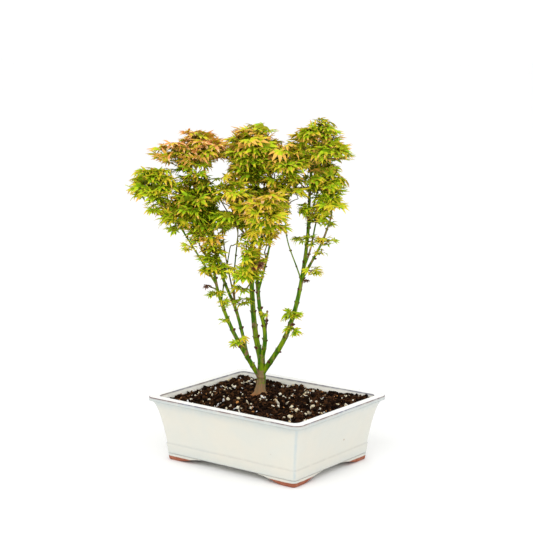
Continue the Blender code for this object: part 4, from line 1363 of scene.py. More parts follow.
    def buds(self, curves: dict[str, Curve], nodes: dict[str, np.ndarray],
             chance: np.random.Generator) -> None:
        """Set a pair of pointed buds at each node, each pair square to the last.

        A bud is a four-sided spindle: two rings and two poles along its own axis.

        Args:
            curves: The limbs' centre lines.
            nodes: The lengths of each limb's nodes.
            chance: Source of the random numbers.
        """
        roots, ways, ups, sizes = [], [], [], []
        for name, curve in curves.items():
            if name == "trunk":
                continue
            marks = nodes[name]
            centres, out, _ = curve.tube(marks, 4)
            for pair in (0, 2):
                column = (pair + np.arange(len(marks)) % 2) % 4
                way = out[np.arange(len(marks)), column]
                roots.append(centres + way * curve.radii(marks)[:, None] * 0.8)
                ways.append(way)
                ups.append(curve.tangents(marks))
                sizes.append((self.bud_size + 0.54 * curve.radii(marks)) * chance.uniform(
                    0.55, 1.40, len(marks)))
        root, way, up = (np.concatenate(part) for part in (roots, ways, ups))
        size = np.concatenate(sizes)
        axis = unit(0.85 * way + 0.52 * up)
        side = unit(np.cross(axis, way))
        third = np.cross(axis, side)
        spindle = np.array([(0, 0, -0.4)] + [
            (height_radius * math.cos(turn), height_radius * math.sin(turn), height)
            for height, height_radius in ((0.15, 0.52), (0.8, 0.46))
            for turn in circle(4)] + [(0, 0, 1.5)])
        shapes = (root[:, None] + size[:, None, None] * (
            spindle[None, :, :1] * side[:, None] + spindle[None, :, 1:2] * third[:, None]
            + spindle[None, :, 2:] * axis[:, None]))
        ring = np.arange(4)
        parts = (fan_faces(ring + 1, 0, True), fan_faces(ring + 5, 9), grid_faces(2, 4) + 1)
        shape = Surface()
        shape.add(shapes.reshape(-1, 3),
                  [copied(part, len(root), len(spindle)) for part in parts])
        piece = shape.to_piece("stem_buds", [
            PlainFinish("bud_scales", (0.115, 0.035, 0.026), 0.5).material()])

    def build(self) -> dict[str, Curve]:
        """Build every limb and the buds.

        Returns:
            The curves that the crown grows on from.
        """
        self.bark_material = self.bark.material()
        self.dead_material = self.dead.material()
        curves = self.curves()
        chance = np.random.default_rng(self.seed)
        nodes = {name: self.nodes(curve, chance) for name, curve in curves.items()}
        nodes["trunk"] = np.array((self.trunk_node,))
        for name, curve in curves.items():
            self.limb(name, curve, nodes[name])
        self.buds(curves, nodes, chance)
        return curves


# Foliage ------------------------------------------------------------------------------------

class Tint(Enum):
    """Plain leaf colours, from the shaded inside of the crown to its sunned tips.
    They are partly the leaves' own colour and partly painted light: all are brightened for the
    light that shines through the thin leaves, DEEP and MOSS are partly painted shade of the
    crown's inside, and PALE is painted light of backlit yellow leaves.
    """

    MAROON = (0.120, 0.035, 0.022)
    UMBER = (0.300, 0.160, 0.090)
    DEEP = (0.150, 0.220, 0.004)
    MOSS = (0.320, 0.335, 0.012)
    GREEN = (0.320, 0.510, 0.012)
    BRIGHT = (0.510, 0.660, 0.018)
    OLIVE = (0.660, 0.490, 0.026)
    LIME = (0.730, 0.650, 0.034)
    YELLOW = (0.760, 0.630, 0.050)
    TAN = (0.850, 0.500, 0.100)
    SALMON = (0.870, 0.400, 0.150)
    PEACH = (0.920, 0.610, 0.290)
    PALE = (0.960, 0.930, 0.080)


class Palette(Enum):
    """Tints of one mass, in order from its shaded inside to its sunned outside. The shaded end is
    partly painted shade and the sunned end partly painted light.
    """

    ROSE = (Tint.MOSS, Tint.BRIGHT, Tint.LIME, Tint.TAN, Tint.SALMON, Tint.PEACH)
    AMBER = (Tint.MOSS, Tint.GREEN, Tint.BRIGHT, Tint.LIME, Tint.TAN, Tint.TAN)
    STRAW = (Tint.GREEN, Tint.BRIGHT, Tint.LIME, Tint.OLIVE, Tint.TAN, Tint.PEACH)
    LIME = (Tint.GREEN, Tint.BRIGHT, Tint.LIME, Tint.LIME, Tint.YELLOW, Tint.TAN)
    GREEN = (Tint.MOSS, Tint.GREEN, Tint.BRIGHT, Tint.LIME, Tint.OLIVE, Tint.TAN)
    DEEP = (Tint.DEEP, Tint.MOSS, Tint.GREEN, Tint.BRIGHT, Tint.OLIVE, Tint.TAN)
    DRY = (Tint.MAROON, Tint.MAROON, Tint.UMBER, Tint.MAROON, Tint.UMBER, Tint.UMBER)
    PALE = (Tint.PALE, Tint.PALE, Tint.PALE, Tint.PALE, Tint.PALE, Tint.PALE)


@dataclass(frozen=True)
class Mass:
    """One mass of leaves: its limb, the height at which it leaves it, its place and reach.

    Another draw turns its shoots and sprays another way.
    """

    name: str
    limb: str
    grows_at: float | None
    centre: tuple[float, float, float]
    reach: tuple[float, float, float]
    palette: Palette
    leaf_size: float = 1.0
    draw: int = 0


TIP = None
# Each row is a Mass. A name that comes twice is one mass of several sprays. Some small ones were
# first placed by a helper program, from points read off, and were moved later.
ROSE, AMBER, STRAW, LIME, GREEN, DEEP, DRY, PALE = Palette
MASSES = tuple(Mass(*row) for row in (
    ("foliage_left_top", "left_inner_stem", TIP, (-.079, .008, .405), (.033, .034, .028), ROSE),
    ("foliage_left_shoulder", "left_inner_stem", .35, (-.111, -.002, .398), (.03, .028, .02),
     ROSE),
    ("foliage_far_left", "far_left_stem", TIP, (-.137, -.018, .358), (.031, .03, .027), GREEN),
    ("foliage_left_low", "far_left_stem", .294, (-.106, -.01, .321), (.026, .03, .026), GREEN),
    ("foliage_left_heart", "left_inner_stem", .285, (-.08, -.008, .339), (.032, .034, .043), DEEP),
    ("foliage_left_column", "left_outer_stem", TIP, (-.057, -.026, .267), (.023, .024, .039),
     GREEN),
    ("foliage_centre_top", "centre_stem", TIP, (-.01, .004, .402), (.038, .036, .04), AMBER),
    ("foliage_heart", "centre_stem", .318, (.004, .026, .343), (.026, .028, .024), DEEP),
    ("foliage_centre_left", "inner_whip", TIP, (-.033, -.028, .338), (.029, .028, .038), GREEN),
    ("foliage_front", "front_stem", TIP, (.01, -.058, .329), (.032, .032, .031), STRAW),
    ("foliage_front_skirt", "middle_stem", .258, (-.017, -.044, .269), (.023, .026, .04), GREEN),
    ("foliage_middle_top", "middle_stem", TIP, (.033, -.012, .388), (.03, .032, .026), AMBER),
    ("foliage_middle_right", "slender_stem", TIP, (.037, -.008, .349), (.026, .027, .031), LIME),
    ("foliage_right_top", "right_stem", TIP, (.076, 0, .427), (.029, .031, .022), AMBER),
    ("foliage_right_shoulder", "right_stem", .375, (.088, -.01, .403), (.028, .03, .017), AMBER),
    ("foliage_right_left", "right_stem", .368, (.052, .014, .404), (.025, .026, .022), LIME),
    ("foliage_right_mid", "right_stem", .342, (.085, .006, .357), (.026, .03, .024), GREEN),
    ("foliage_right_low", "right_outer_stem", TIP, (.091, -.012, .332), (.021, .026, .021), LIME),
    ("foliage_right_inner", "right_stem", .312, (.049, -.008, .328), (.016, .022, .023), DEEP),
    ("foliage_right_twin", "right_twin_stem", TIP, (.076, .014, .322), (.018, .024, .023), GREEN),
    ("foliage_back_left", "back_left_stem", TIP, (-.078, .072, .395), (.034, .032, .028), ROSE),
    ("foliage_back_left_low", "back_left_stem", .31, (-.086, .056, .332), (.028, .03, .03), GREEN),
    ("foliage_back_centre", "back_centre_stem", TIP, (-.013, .076, .388), (.037, .032, .033),
     AMBER),
    ("foliage_back_middle", "back_centre_stem", .292, (.02, .07, .33), (.03, .03, .027), LIME),
    ("foliage_back_column", "back_centre_stem", .27, (-.032, .056, .306), (.026, .028, .032),
     DEEP),
    ("foliage_back_right", "back_right_stem", TIP, (.084, .068, .386), (.034, .032, .031), AMBER),
    ("foliage_left_heart", "left_inner_stem", .34, (-.088, -.004, .377), (.026, .026, .014),
     DEEP, .85),
    ("foliage_left_heart", "left_inner_stem", .285, (-.078, -.01, .3), (.02, .022, .012),
     DEEP, .9),
    ("foliage_far_left", "far_left_stem", TIP, (-.124, -.008, .376), (.02, .022, .012),
     GREEN, .85),
    ("foliage_heart", "centre_stem", .335, (-.02, .01, .366), (.026, .026, .014), GREEN, .9),
    ("foliage_heart", "centre_stem", .335, (.018, .004, .366), (.024, .026, .014), GREEN, .9),
    ("foliage_centre_left", "inner_whip", TIP, (-.045, -.022, .362), (.016, .018, .012),
     GREEN, .85),
    ("foliage_centre_left", "inner_whip", .3, (-.048, -.026, .308), (.018, .018, .012), GREEN, .9),
    ("foliage_front", "front_stem", .29, (0, -.052, .297), (.02, .02, .013), STRAW, .95),
    ("foliage_front_skirt", "middle_stem", .235, (-.021, -.036, .227), (.015, .015, .014),
     GREEN, 1.10),
    ("foliage_right_mid", "right_stem", .342, (.066, .004, .368), (.016, .022, .014), AMBER, .9),
    ("foliage_right_twin", "right_twin_stem", TIP, (.078, 0, .31), (.018, .02, .01), GREEN, .8),
    ("foliage_left_low", "far_left_stem", TIP, (-.108, -.008, .353), (.013, .018, .011),
     GREEN, .85),
    ("foliage_left_low", "far_left_stem", TIP, (-.137, -.016, .33), (.014, .018, .01), GREEN, .85),
    ("foliage_far_left", "far_left_stem", TIP, (-.148, -.014, .372), (.013, .016, .009),
     GREEN, .85),
    ("foliage_left_column", "left_outer_stem", TIP, (-.08, -.018, .29), (.012, .016, .01),
     GREEN, .85),
    ("foliage_left_column", "left_outer_stem", .236, (-.071, -.026, .247), (.01, .012, .008),
     GREEN, .85),
    ("foliage_left_low", "far_left_stem", TIP, (-.1165, -.012, .304), (.01, .014, .008),
     GREEN, .85),
    ("foliage_left_heart", "left_inner_stem", .285, (-.0535, -.014, .296), (.008, .01, .008),
     DEEP, .8),
    ("foliage_front_skirt", "front_stem", .262, (.0045, -.038, .284), (.009, .01, .01), LIME, .85),
    ("foliage_front", "front_stem", .29, (.021, -.054, .302), (.01, .012, .008), STRAW, .85),
    ("foliage_right_inner", "right_stem", .345, (.051, -.006, .3625), (.011, .014, .008),
     DEEP, .8),
    ("foliage_right_shoulder", "right_stem", .385, (.113, -.01, .4), (.009, .012, .009),
     AMBER, .85),
    ("foliage_right_mid", "right_stem", .357, (.098, 0, .376), (.01, .012, .007), AMBER, .85),
    ("foliage_left_shoulder", "left_inner_stem", .355, (-.12, -.002, .388), (.011, .012, .006),
     ROSE, .85),
    ("foliage_right_inner", "right_stem", .312, (.053, -.01, .331), (.011, .018, .01), DEEP, .8),
    ("foliage_right_inner", "right_stem", .335, (.053, -.006, .355), (.012, .018, .01), DEEP, .8),
    ("foliage_right_low", "right_outer_stem", TIP, (.09, -.006, .344), (.018, .02, .01),
     LIME, .85),
    ("foliage_right_top", "right_stem", TIP, (.07, 0, .437), (.021, .018, .008), AMBER, .9),
    ("foliage_front_skirt", "middle_stem", .258, (-.022, -.04, .276), (.01, .014, .011),
     LIME, .85),
    ("foliage_left_heart", "left_inner_stem", .35, (-.061, -.01, .366), (.01, .014, .006),
     DEEP, .8),
    ("foliage_centre_left", "inner_whip", TIP, (-.053, -.02, .352), (.01, .012, .006), GREEN, .8),
    ("foliage_left_top", "left_inner_stem", TIP, (-.086, .006, .42), (.022, .018, .008), ROSE, .9),
    ("foliage_centre_top", "centre_stem", TIP, (.005, .004, .43), (.017, .018, .008), AMBER, .9),
    ("foliage_right_low", "right_outer_stem", .306, (.098, -.014, .3035), (.009, .01, .008),
     LIME, .95, 1),
    ("tuft_left", "left_outer_stem", .196, (-.0472, -.024, .208), (.008, .01, .008), GREEN, .6),
    ("tuft_left", "left_outer_stem", .18, (-.048, -.023, .184), (.007, .007, .006), GREEN, .5),
    ("tuft_right_upper", "right_stem", .188, (.049, -.018, .191), (.008, .008, .008), GREEN, .55),
    ("tuft_right_fork", "right_outer_stem", .285, (.089, -.018, .287), (.011, .012, .007),
     GREEN, .7),
    ("tuft_right_fork", "right_outer_stem", .268, (.079, -.021, .2725), (.009, .01, .007),
     GREEN, .6),
    ("tuft_crossing", "right_stem", .284, (.051, -.008, .288), (.01, .01, .008), GREEN, .65),
    ("tuft_centre", "middle_stem", .186, (.004, -.016, .191), (.006, .007, .006), GREEN, .5),
    ("tuft_whip", "inner_whip", .246, (-.037, -.046, .2547), (.01, .01, .008), PALE, .7),
    ("foliage_front_skirt", "front_stem", .25, (-.0037, -.064, .2637), (.009, .008, .008),
     DRY, .5),
    ("tuft_right_fork", "right_stem", .232, (.059, -.012, .235), (.004, .005, .004), DRY, .32),
    ("tuft_left", "left_outer_stem", .222, (-.0672, -.022, .23), (.006, .006, .006), DRY, .42, 1),
    ("sprig_left", "far_left_stem", .276, (-.0905, -.026, .2815), (.01, .012, .009), LIME, .65),
    ("tuft_left", "left_outer_stem", .214, (-.058, -.026, .221), (.011, .011, .009), GREEN, .65),
    ("tuft_left_fork", "left_inner_stem", .156, (-.027, -.018, .1545), (.011, .012, .012),
     GREEN, .65, 1),
    ("tuft_centre", "left_inner_stem", .2, (-.0235, -.01, .205), (.012, .012, .009),
     GREEN, .85, 1),
    ("tuft_centre", "left_inner_stem", .212, (-.024, -.006, .2195), (.009, .01, .008),
     GREEN, .85, 1),
    ("tuft_right_upper", "right_stem", .19, (.039, -.018, .195), (.013, .013, .013), GREEN, .85),
    ("tuft_right_lower", "right_stem", .17, (.0435, -.018, .172), (.012, .012, .011),
     GREEN, .85, 1),
    ("tuft_right_fork", "right_outer_stem", .246, (.066, -.024, .25), (.012, .013, .01),
     LIME, .75),
    ("tuft_crossing", "right_stem", .28, (.067, -.008, .287), (.013, .012, .01), GREEN, .7),
    ("tuft_whip", "left_whip", TIP, (-.0325, -.04, .288), (.012, .01, .008), PALE, .85, 1),
))

# Gaps in the crown that leaves keep clear of: across, height, half width and half height. They
# were read off, but a helper program made 12 of the rows, and parts of 5 more, of the readings.
OPENINGS = (
    (-.053, .381, .0042, .0078), (-.056, .359, .0034, .0011), (-.048, .328, .0037, .0034),
    (-.079, .377, .0013, .0011), (-.101, .372, .0009, .0013), (.0525, .4385, .0055, .0042),
    (-.114, .381, .0022, .0014), (.043, .327, .0011, .0171), (.05, .301, .0047, .0074),
    (.053, .356, .0006, .0004), (.02, .371, .0016, .0004), (-.034, .293, .0042, .003),
    (-.033, .267, .0037, .0099), (.114, .38, .0061, .0081), (.104, .433, .0048, .0042),
    (.0155, .434, .0068, .0029), (-.049, .424, .0048, .0048), (-.134, .382, .0048, .0018),
    (-.063, .432, .0068, .0021), (.1, .3185, .005, .0028),
)


@dataclass(frozen=True)
class LeafShape:
    """A palmate leaf with seven slender lobes, each folded along its rib."""

    angles: tuple[float, ...] = (-112, -68, -33, 0, 33, 68, 112)
    lengths: tuple[float, ...] = (0.46, 0.80, 0.95, 1.0, 0.95, 0.80, 0.46)
    widths: tuple[float, ...] = (0.078, 0.112, 0.128, 0.136, 0.128, 0.112, 0.078)
    notches: tuple[float, ...] = (-150, -90, -50, -17, 17, 50, 90, 150)
    notch_lengths: tuple[float, ...] = (0.08, 0.22, 0.30, 0.34, 0.34, 0.30, 0.22, 0.08)
    fold: float = 0.42

    def points(self) -> tuple[np.ndarray, np.ndarray, np.ndarray]:
        """Return the blade's points at rest.

        Point 0 is the joint with the stalk and points 1 to 8 are the notches. Each lobe then
        has eight: rib at 0.40 and 0.74 of its length, two edge points beside 0.50, two beside
        0.76, its tip, and a rib point near the joint.

        Returns:
            Points (x along the middle lobe, y across, z up), distance from the joint, and
            the lobe of each point, or -1.
        """
        turn = np.radians(self.notches)
        reach = np.array(self.notch_lengths)
        notches = np.stack((reach * np.cos(turn), reach * np.sin(turn), 0.1 * reach), axis=-1)
        angle = np.radians(self.angles)[:, None]
        length = np.array(self.lengths)[:, None]
        width = np.array(self.widths)[:, None]
        along = length * np.array((0.40, 0.50, 0.50, 0.74, 0.76, 0.76, 1.0))
        aside = width * np.array((0.0, -1.0, 1.0, 0.0, -0.62, 0.62, 0.0))
        height = width * self.fold * np.array((0.0, 1.0, 1.0, 0.0, 0.62, 0.62, 0.0))
        lobes = np.stack((along * np.cos(angle) - aside * np.sin(angle),
                          along * np.sin(angle) + aside * np.cos(angle), height), axis=-1)
        points = np.concatenate((np.zeros((1, 3)), notches, lobes.reshape(-1, 3)))
        owner = np.concatenate((np.full(9, -1), np.repeat(np.arange(7), 7)))
        return points, np.linalg.norm(points[:, :2], axis=1), owner

    def faces(self) -> tuple[np.ndarray, np.ndarray]:
        """Join the blade's points; in a lobe, heart faces come before tips.

        Returns:
            The quads and the triangles.
        """
        lobe = np.arange(7)
        base = 9 + 7 * lobe
        rib, low, high, rib_out, low_out, high_out, tip = (base + step for step in range(7))
        joint = np.zeros(7, int)
        right, left = lobe + 1, lobe + 2
        quads = np.stack((np.stack((joint, right, low, rib), -1),
                          np.stack((joint, rib, high, left), -1),
                          np.stack((rib, low, low_out, rib_out), -1),
                          np.stack((rib, rib_out, high_out, high), -1)), axis=1)
        tips = np.stack((np.stack((rib_out, low_out, tip), -1),
                         np.stack((rib_out, tip, high_out), -1)), axis=1)
        return quads.reshape(-1, 4), tips.reshape(-1, 3)


@dataclass
class Leaves:
    """Arrays with one row for each leaf."""

    node: np.ndarray
    joint: np.ndarray
    pointing: np.ndarray
    normal: np.ndarray
    size: np.ndarray
    droop: np.ndarray
    curl: np.ndarray
    spray: np.ndarray
    spot: np.ndarray

    def take(self, rows: np.ndarray) -> "Leaves":
        """Return some of the leaves."""
        return Leaves(*(getattr(self, name)[rows] for name in self.__dataclass_fields__))

    def blades(self, shape: LeafShape) -> np.ndarray:
        """Return every blade's points.

        A point at distance r from the joint sinks by (droop - its lobe's curl) times r
        squared, and draws back along its lobe as it sinks.

        Args:
            shape: The leaf at rest.

        Returns:
            Places, as leaf, point and axis.
        """
        flat, far, owner = shape.points()
        curl = np.concatenate((self.curl, np.zeros((len(self.curl), 1))), axis=1)[:, owner]
        sink = (self.droop[:, None] - curl) * far ** 2
        shrink = 1 / np.sqrt(1 + (1.1 * sink) ** 2)
        side = np.cross(self.normal, self.pointing)
        local = np.stack((flat[:, 0] * shrink, flat[:, 1] * shrink, flat[:, 2] - sink), axis=-1)
        return self.joint[:, None] + self.size[:, None, None] * (
            local[..., :1] * self.pointing[:, None] + local[..., 1:2] * side[:, None]
            + local[..., 2:] * self.normal[:, None])


@dataclass
class Foliage:
    """The crown: in each mass a stem, golden-angle shoots, sprays, and pairs of leaves."""

    plant: PlantFrame
    curves: dict[str, Curve]
    spray_room: float = 6.0e-6
    leaf_reach: float = 0.0205
    small_reach: float = 0.020
    fewest_sprays: int = 3
    shoots_a_spray: float = 0.45
    shoot_lift: float = 0.6
    shoot_drop: float = 0.9
    shoot_reach: float = 0.55
    first_shoot: float = 0.75
    shoot_span: float = 0.5
    stem_radius: float = 0.0011
    shoot_radius: float = 0.00075
    spray_radius: float = 0.00052
    stalk_radius: float = 0.00032
    swell: float = 1.34
    small_swell: float = 1.62
    overlap: float = 0.018
    dome: float = 0.30
    candidates: int = 14
    box_margin: float = 0.0008
    opening_margin: float = 0.001
    worth_picking: float = 0.3
    arch_rise: float = 0.22
    leaf_spots: tuple[float, ...] = (1.0, 1.0, 1.0, 0.55, 0.55, 0.8)
    leaf_turns: tuple[float, ...] = (0.0, -48.0, 48.0, -82.0, 82.0, 20.0)
    spray_stray: float = 0.22
    turn_stray: float = 0.20
    tilts: tuple[float, float] = (-0.18, 0.36)
    tilt_stray: float = 0.24
    roll_stray: float = 0.38
    sizes: tuple[float, float] = (0.62, 1.15)
    stalk_share: float = 0.38
    stalk_lengths: tuple[float, float] = (0.8, 1.3)
    most_rise: float = 0.5
    most_droop: float = 0.27
    curl_stray: float = 0.22
    shades: tuple[float, float, float] = (0.46, 0.32, 0.24)
    spray_shade_stray: float = 0.10
    leaf_shade_stray: float = 0.11
    tint_stray: float = 0.38
    heart_steps: tuple[float, ...] = (-1.1, -1.1, 0.2, 0.2)
    tip_steps: float = 1.8
    seed: int = 77
    shape: LeafShape = LeafShape()
    # The twig bark's lit green is painted light as well.
    twig_bark: Bark = Bark("twig_bark", green=(0.13, 0.14, 0.012), lit=(0.25, 0.24, 0.03),
                           streak=(0.20, 0.08, 0.03), blush=(0.22, 0.09, 0.05))
    leader: tuple[tuple[float, float, float], ...] = (
        (0.028, -0.006, 0.362), (0.029, -0.009, 0.388), (0.0277, -0.010, 0.401),
        (0.0264, -0.010, 0.4145))
    leader_radius: float = 0.0008

    def stem(self, mass: Mass) -> Curve:
        """Lay a mass's stem: out of its limb, through its middle and up.

        Args:
            mass: The mass.

        Returns:
            Its curve.
        """
        limb = self.curves[mass.limb]
        centre = np.array(mass.centre)
        along = limb.length if mass.grows_at is TIP else limb.at_height(mass.grows_at)
        root = limb.points(along)
        middle = self.plant.place(centre)
        top = self.plant.place(centre + (0, 0, 0.45 * mass.reach[2]))
        tangent = limb.tangents(along)
        if mass.grows_at is TIP:
            way = tangent
        else:
            way = unit(unit(middle - root) + 0.5 * tangent)
        radius = min(float(limb.radii(along)), self.stem_radius)
        return Curve(np.stack((root, root + way * 0.003, middle, top)), radius,
                     self.shoot_radius)

    def shoots(self, mass: Mass, stem: Curve, count: int,
               chance: np.random.Generator) -> list[Curve]:
        """Return the side shoots of a mass, turned by the golden angle from one to the next.

        Args:
            mass: The mass.
            stem: Its stem.
            count: How many shoots.
            chance: Source of the random numbers.

        Returns:
            Their curves, each from the stem up and out to a place in the mass.
        """
        made = []
        for number in range(count):
            fraction = (number + 0.5) / count
            turn = number * GOLDEN_ANGLE + chance.uniform(0.0, 0.5)
            lift = self.shoot_lift - self.shoot_drop * fraction * 1.5
            out = np.array((math.cos(turn), math.sin(turn), lift)) * self.shoot_reach
            tip = self.spot(mass, out)
            root = stem.points(stem.length * (self.first_shoot - self.shoot_span * fraction))
            middle = 0.5 * (root + tip) + (0.0, 0.0, 0.06 * mass.reach[2])
            made.append(Curve(np.stack((root, middle, tip)), self.shoot_radius,
                              self.spray_radius))
        return made

    def limits(self, mass: Mass) -> tuple[np.ndarray, np.ndarray]:
        """Lay the planes that part a mass from the others.

        Args:
            mass: The mass.

        Returns:
            Their unit normals, and their distances from its centre.
        """
        normals, limits = [], []
        for other in MASSES:
            if other is mass:
                continue
            between = np.subtract(other.centre, mass.centre)
            distance = float(np.linalg.norm(between))
            way = between / distance
            mine = 1.0 / np.linalg.norm(way / np.array(mass.reach))
            theirs = 1.0 / np.linalg.norm(way / np.array(other.reach))
            normals.append(way)
            limits.append(max(distance * mine / (mine + theirs), distance - theirs))
        return np.array(normals), np.array(limits) + self.overlap

    def narrow(self, height: np.ndarray) -> np.ndarray:
        """Return how wide a mass is at a height, as a share: its upper half is a dome."""
        return 1.0 - self.dome * np.clip(height, 0.0, 1.0)

    def fits(self, mass: Mass, blades: np.ndarray) -> np.ndarray:
        """Tell which leaves lie in a mass's space and leave the openings clear.

        Args:
            mass: The mass.
            blades: Every candidate blade's points.

        Returns:
            True for each leaf that fits.
        """
        world = blades - self.plant.origin()
        plant = world @ self.plant.axes().T
        local = plant - mass.centre
        normals, limits = self.limits(mass)
        swell = self.swell if mass.leaf_size == 1.0 else self.small_swell
        share = local / mass.reach
        share[..., :2] /= self.narrow(share[..., 2])[..., None]
        inside = (np.linalg.norm(share, axis=-1) < swell).all(axis=1)
        inside &= (local @ normals.T <= limits).all(axis=(1, 2))
        low, high = np.array(SOLID_BOX) + np.array(((1,), (-1,))) * self.box_margin
        inside &= ((blades > low) & (blades < high)).all(axis=(1, 2))
        return inside & self.clear(blades)

    def clear(self, points: np.ndarray) -> np.ndarray:
        """Tell which rows of points lie wholly outside every opening of the crown.

        Args:
            points: Places, as row, point and axis.

        Returns:
            True for each row that does.
        """
        plant = (points - self.plant.origin()) @ self.plant.axes().T
        level = plant[..., 2] + 0.1 * plant[..., 1]
        inside = np.ones(len(points), bool)
        for across, height, half_across, half_height in OPENINGS:
            near = ((plant[..., 0] - across) / (half_across + self.opening_margin)) ** 2 + (
                (level - height) / (half_height + self.opening_margin)) ** 2
            inside &= (near > 1).all(axis=1)
        return inside

    @staticmethod
    def perches(samples: np.ndarray) -> np.ndarray:
        """Return those of a shoot's samples that a spray may leave, from a quarter of it on."""
        return samples[len(samples) // 4::3]

    def spot(self, mass: Mass, share: np.ndarray) -> np.ndarray:
        """Return the places that lie at shares of a mass's reach from its centre."""
        return self.plant.place(np.array(mass.centre) + np.array(mass.reach) * share)

    def candidate_leaves(self, mass: Mass, tips: np.ndarray, shoots: list[Curve],
                         chance: np.random.Generator) -> tuple[Leaves, np.ndarray, np.ndarray]:
        """Return the leaves of many possible sprays.

        A spray arches from the nearest shoot to its tip. Its tip carries a pair of leaves
        and one between them, its middle a pair set wider, and its side one more. A leaf's
        stalk rises a little, and its blade hangs more the lower it is in the mass.

        Args:
            mass: The mass.
            tips: The sprays' tips, as shares of the mass's reach.
            shoots: The twigs that carry them.
            chance: Source of the random numbers.

        Returns:
            The leaves, the number of the shoot sample that each spray leaves, and the
            control point of its arch.
        """
        number = len(tips)
        ends = self.spot(mass, tips)
        lines = np.concatenate([self.perches(shoot.samples) for shoot in shoots])
        nearest = np.argmin(np.linalg.norm(lines[None] - ends[:, None], axis=2), axis=1)
        roots = lines[nearest]
        length = np.linalg.norm(ends - roots, axis=1)
        controls = 0.5 * (roots + ends) + np.outer(self.arch_rise * length, (0, 0, 1))
        centre = self.plant.place(np.array(mass.centre))
        plan = (ends - centre) * (1, 1, 0) / max(mass.reach)
        stray = chance.normal(0.0, self.spray_stray, (number, 3)) * (1, 1, 0)
        out = unit(plan + stray)
        small = mass.leaf_size != 1.0
        spots = np.array(self.leaf_spots)
        each = (number, len(spots))
        nodes = arch(roots, controls, ends, spots[None, :, None])
        turn = np.radians(self.leaf_turns) + chance.normal(0.0, self.turn_stray, each)
        cosine, sine = np.cos(turn)[..., None], np.sin(turn)[..., None]
        way = out[:, None] * cosine + np.cross((0.0, 0.0, 1.0), out)[:, None] * sine
        height = np.clip(0.5 + 0.55 * tips[:, 2], 0, 1)[:, None]
        low, span = self.tilts
        tilt = low + span * height + chance.normal(0.0, self.tilt_stray, each)
        pointing = way * np.cos(tilt)[..., None] + np.sin(tilt)[..., None] * (0, 0, 1)
        beside = np.cross((0.0, 0.0, 1.0), way)
        roll = chance.normal(0.0, self.roll_stray, each)[..., None]
        normal = np.cross(pointing, beside) * np.cos(roll) + beside * np.sin(roll)
        reach = self.small_reach * mass.leaf_size if small else self.leaf_reach
        size = reach * chance.uniform(*self.sizes, each)
        rise = chance.uniform(0.0, self.most_rise, each)[..., None]
        stalk = (self.stalk_share * size * chance.uniform(*self.stalk_lengths, each))[..., None]
        joint = nodes + stalk * (way * np.cos(rise) + (0, 0, 1) * np.sin(rise))
        leaves = Leaves(*(part.reshape(-1, 3) for part in (nodes, joint, pointing, normal)),
                        size.ravel(), chance.uniform(0.0, self.most_droop, size.size),
                        chance.normal(0.0, self.curl_stray, (size.size, 7)),
                        np.repeat(np.arange(number), len(spots)), np.tile(spots, number))
        return leaves, nearest, controls

    @staticmethod
    def spread(spots: np.ndarray, worth: np.ndarray, count: int) -> np.ndarray:
        """Pick spots that keep far from each other, first the ones with the most worth.

        Args:
            spots: All the spots.
            worth: How good each is, from 0 to 1.
            count: How many to pick.

        Returns:
            The numbers of the picked ones.
        """
        picked = [int(np.argmax(worth))]
        gap = np.linalg.norm(spots - spots[picked[0]], axis=1)
        while len(picked) < min(count, int((worth > 0).sum())):
            best = int(np.argmax(gap * worth))
            picked.append(best)
            gap = np.minimum(gap, np.linalg.norm(spots - spots[best], axis=1))
        return np.array(picked)

    def grow(self, mass: Mass, chance: np.random.Generator) -> tuple[Leaves, Surface, np.ndarray]:
        """Grow one mass.

        Args:
            mass: The mass.
            chance: Source of the random numbers.

        Returns:
            Its leaves, its twigs, and the shade of each leaf from 0 inside to 1 outside.
        """
        volume = 4 / 3 * math.pi * math.prod(mass.reach)
        count = max(self.fewest_sprays, round(volume / self.spray_room))
        stem = self.stem(mass)
        shoots = [stem, *self.shoots(mass, stem, max(1, round(count * self.shoots_a_spray)),
                                     chance)]
        number = count * self.candidates
        tips = unit(chance.normal(size=(number, 3))) * (
            chance.uniform(0, 1, number) ** (1 / 2.4) * 0.84)[:, None]
        tips[:, :2] *= self.narrow(tips[:, 2])[:, None]
        leaves, nearest, controls = self.candidate_leaves(mass, tips, shoots, chance)
        inside = self.fits(mass, leaves.blades(self.shape))
        worth = inside.reshape(number, -1).mean(axis=1)
        ends = self.spot(mass, tips)
        worth = worth * self.clear(0.5 * (controls + ends)[:, None])
        chosen = self.spread(tips, np.where(worth > self.worth_picking, worth ** 0.5, 0.0), count)
        keep = np.isin(leaves.spray, chosen) & inside
        leaves = leaves.take(keep)
        twigs = self.wood(stem, shoots, leaves, nearest, controls, ends)
        # Higher and further-out sprays step towards the sunned tints: partly the real colour of
        # sunned leaves, partly painted light and shade.
        middle, by_height, by_reach = self.shades
        shade = (middle + by_height * tips[:, 2] + by_reach * (np.linalg.norm(tips, axis=1) - 0.5)
                 + chance.normal(0, self.spray_shade_stray, number))
        return leaves, twigs, shade[leaves.spray] + chance.normal(
            0, self.leaf_shade_stray, len(leaves.size))

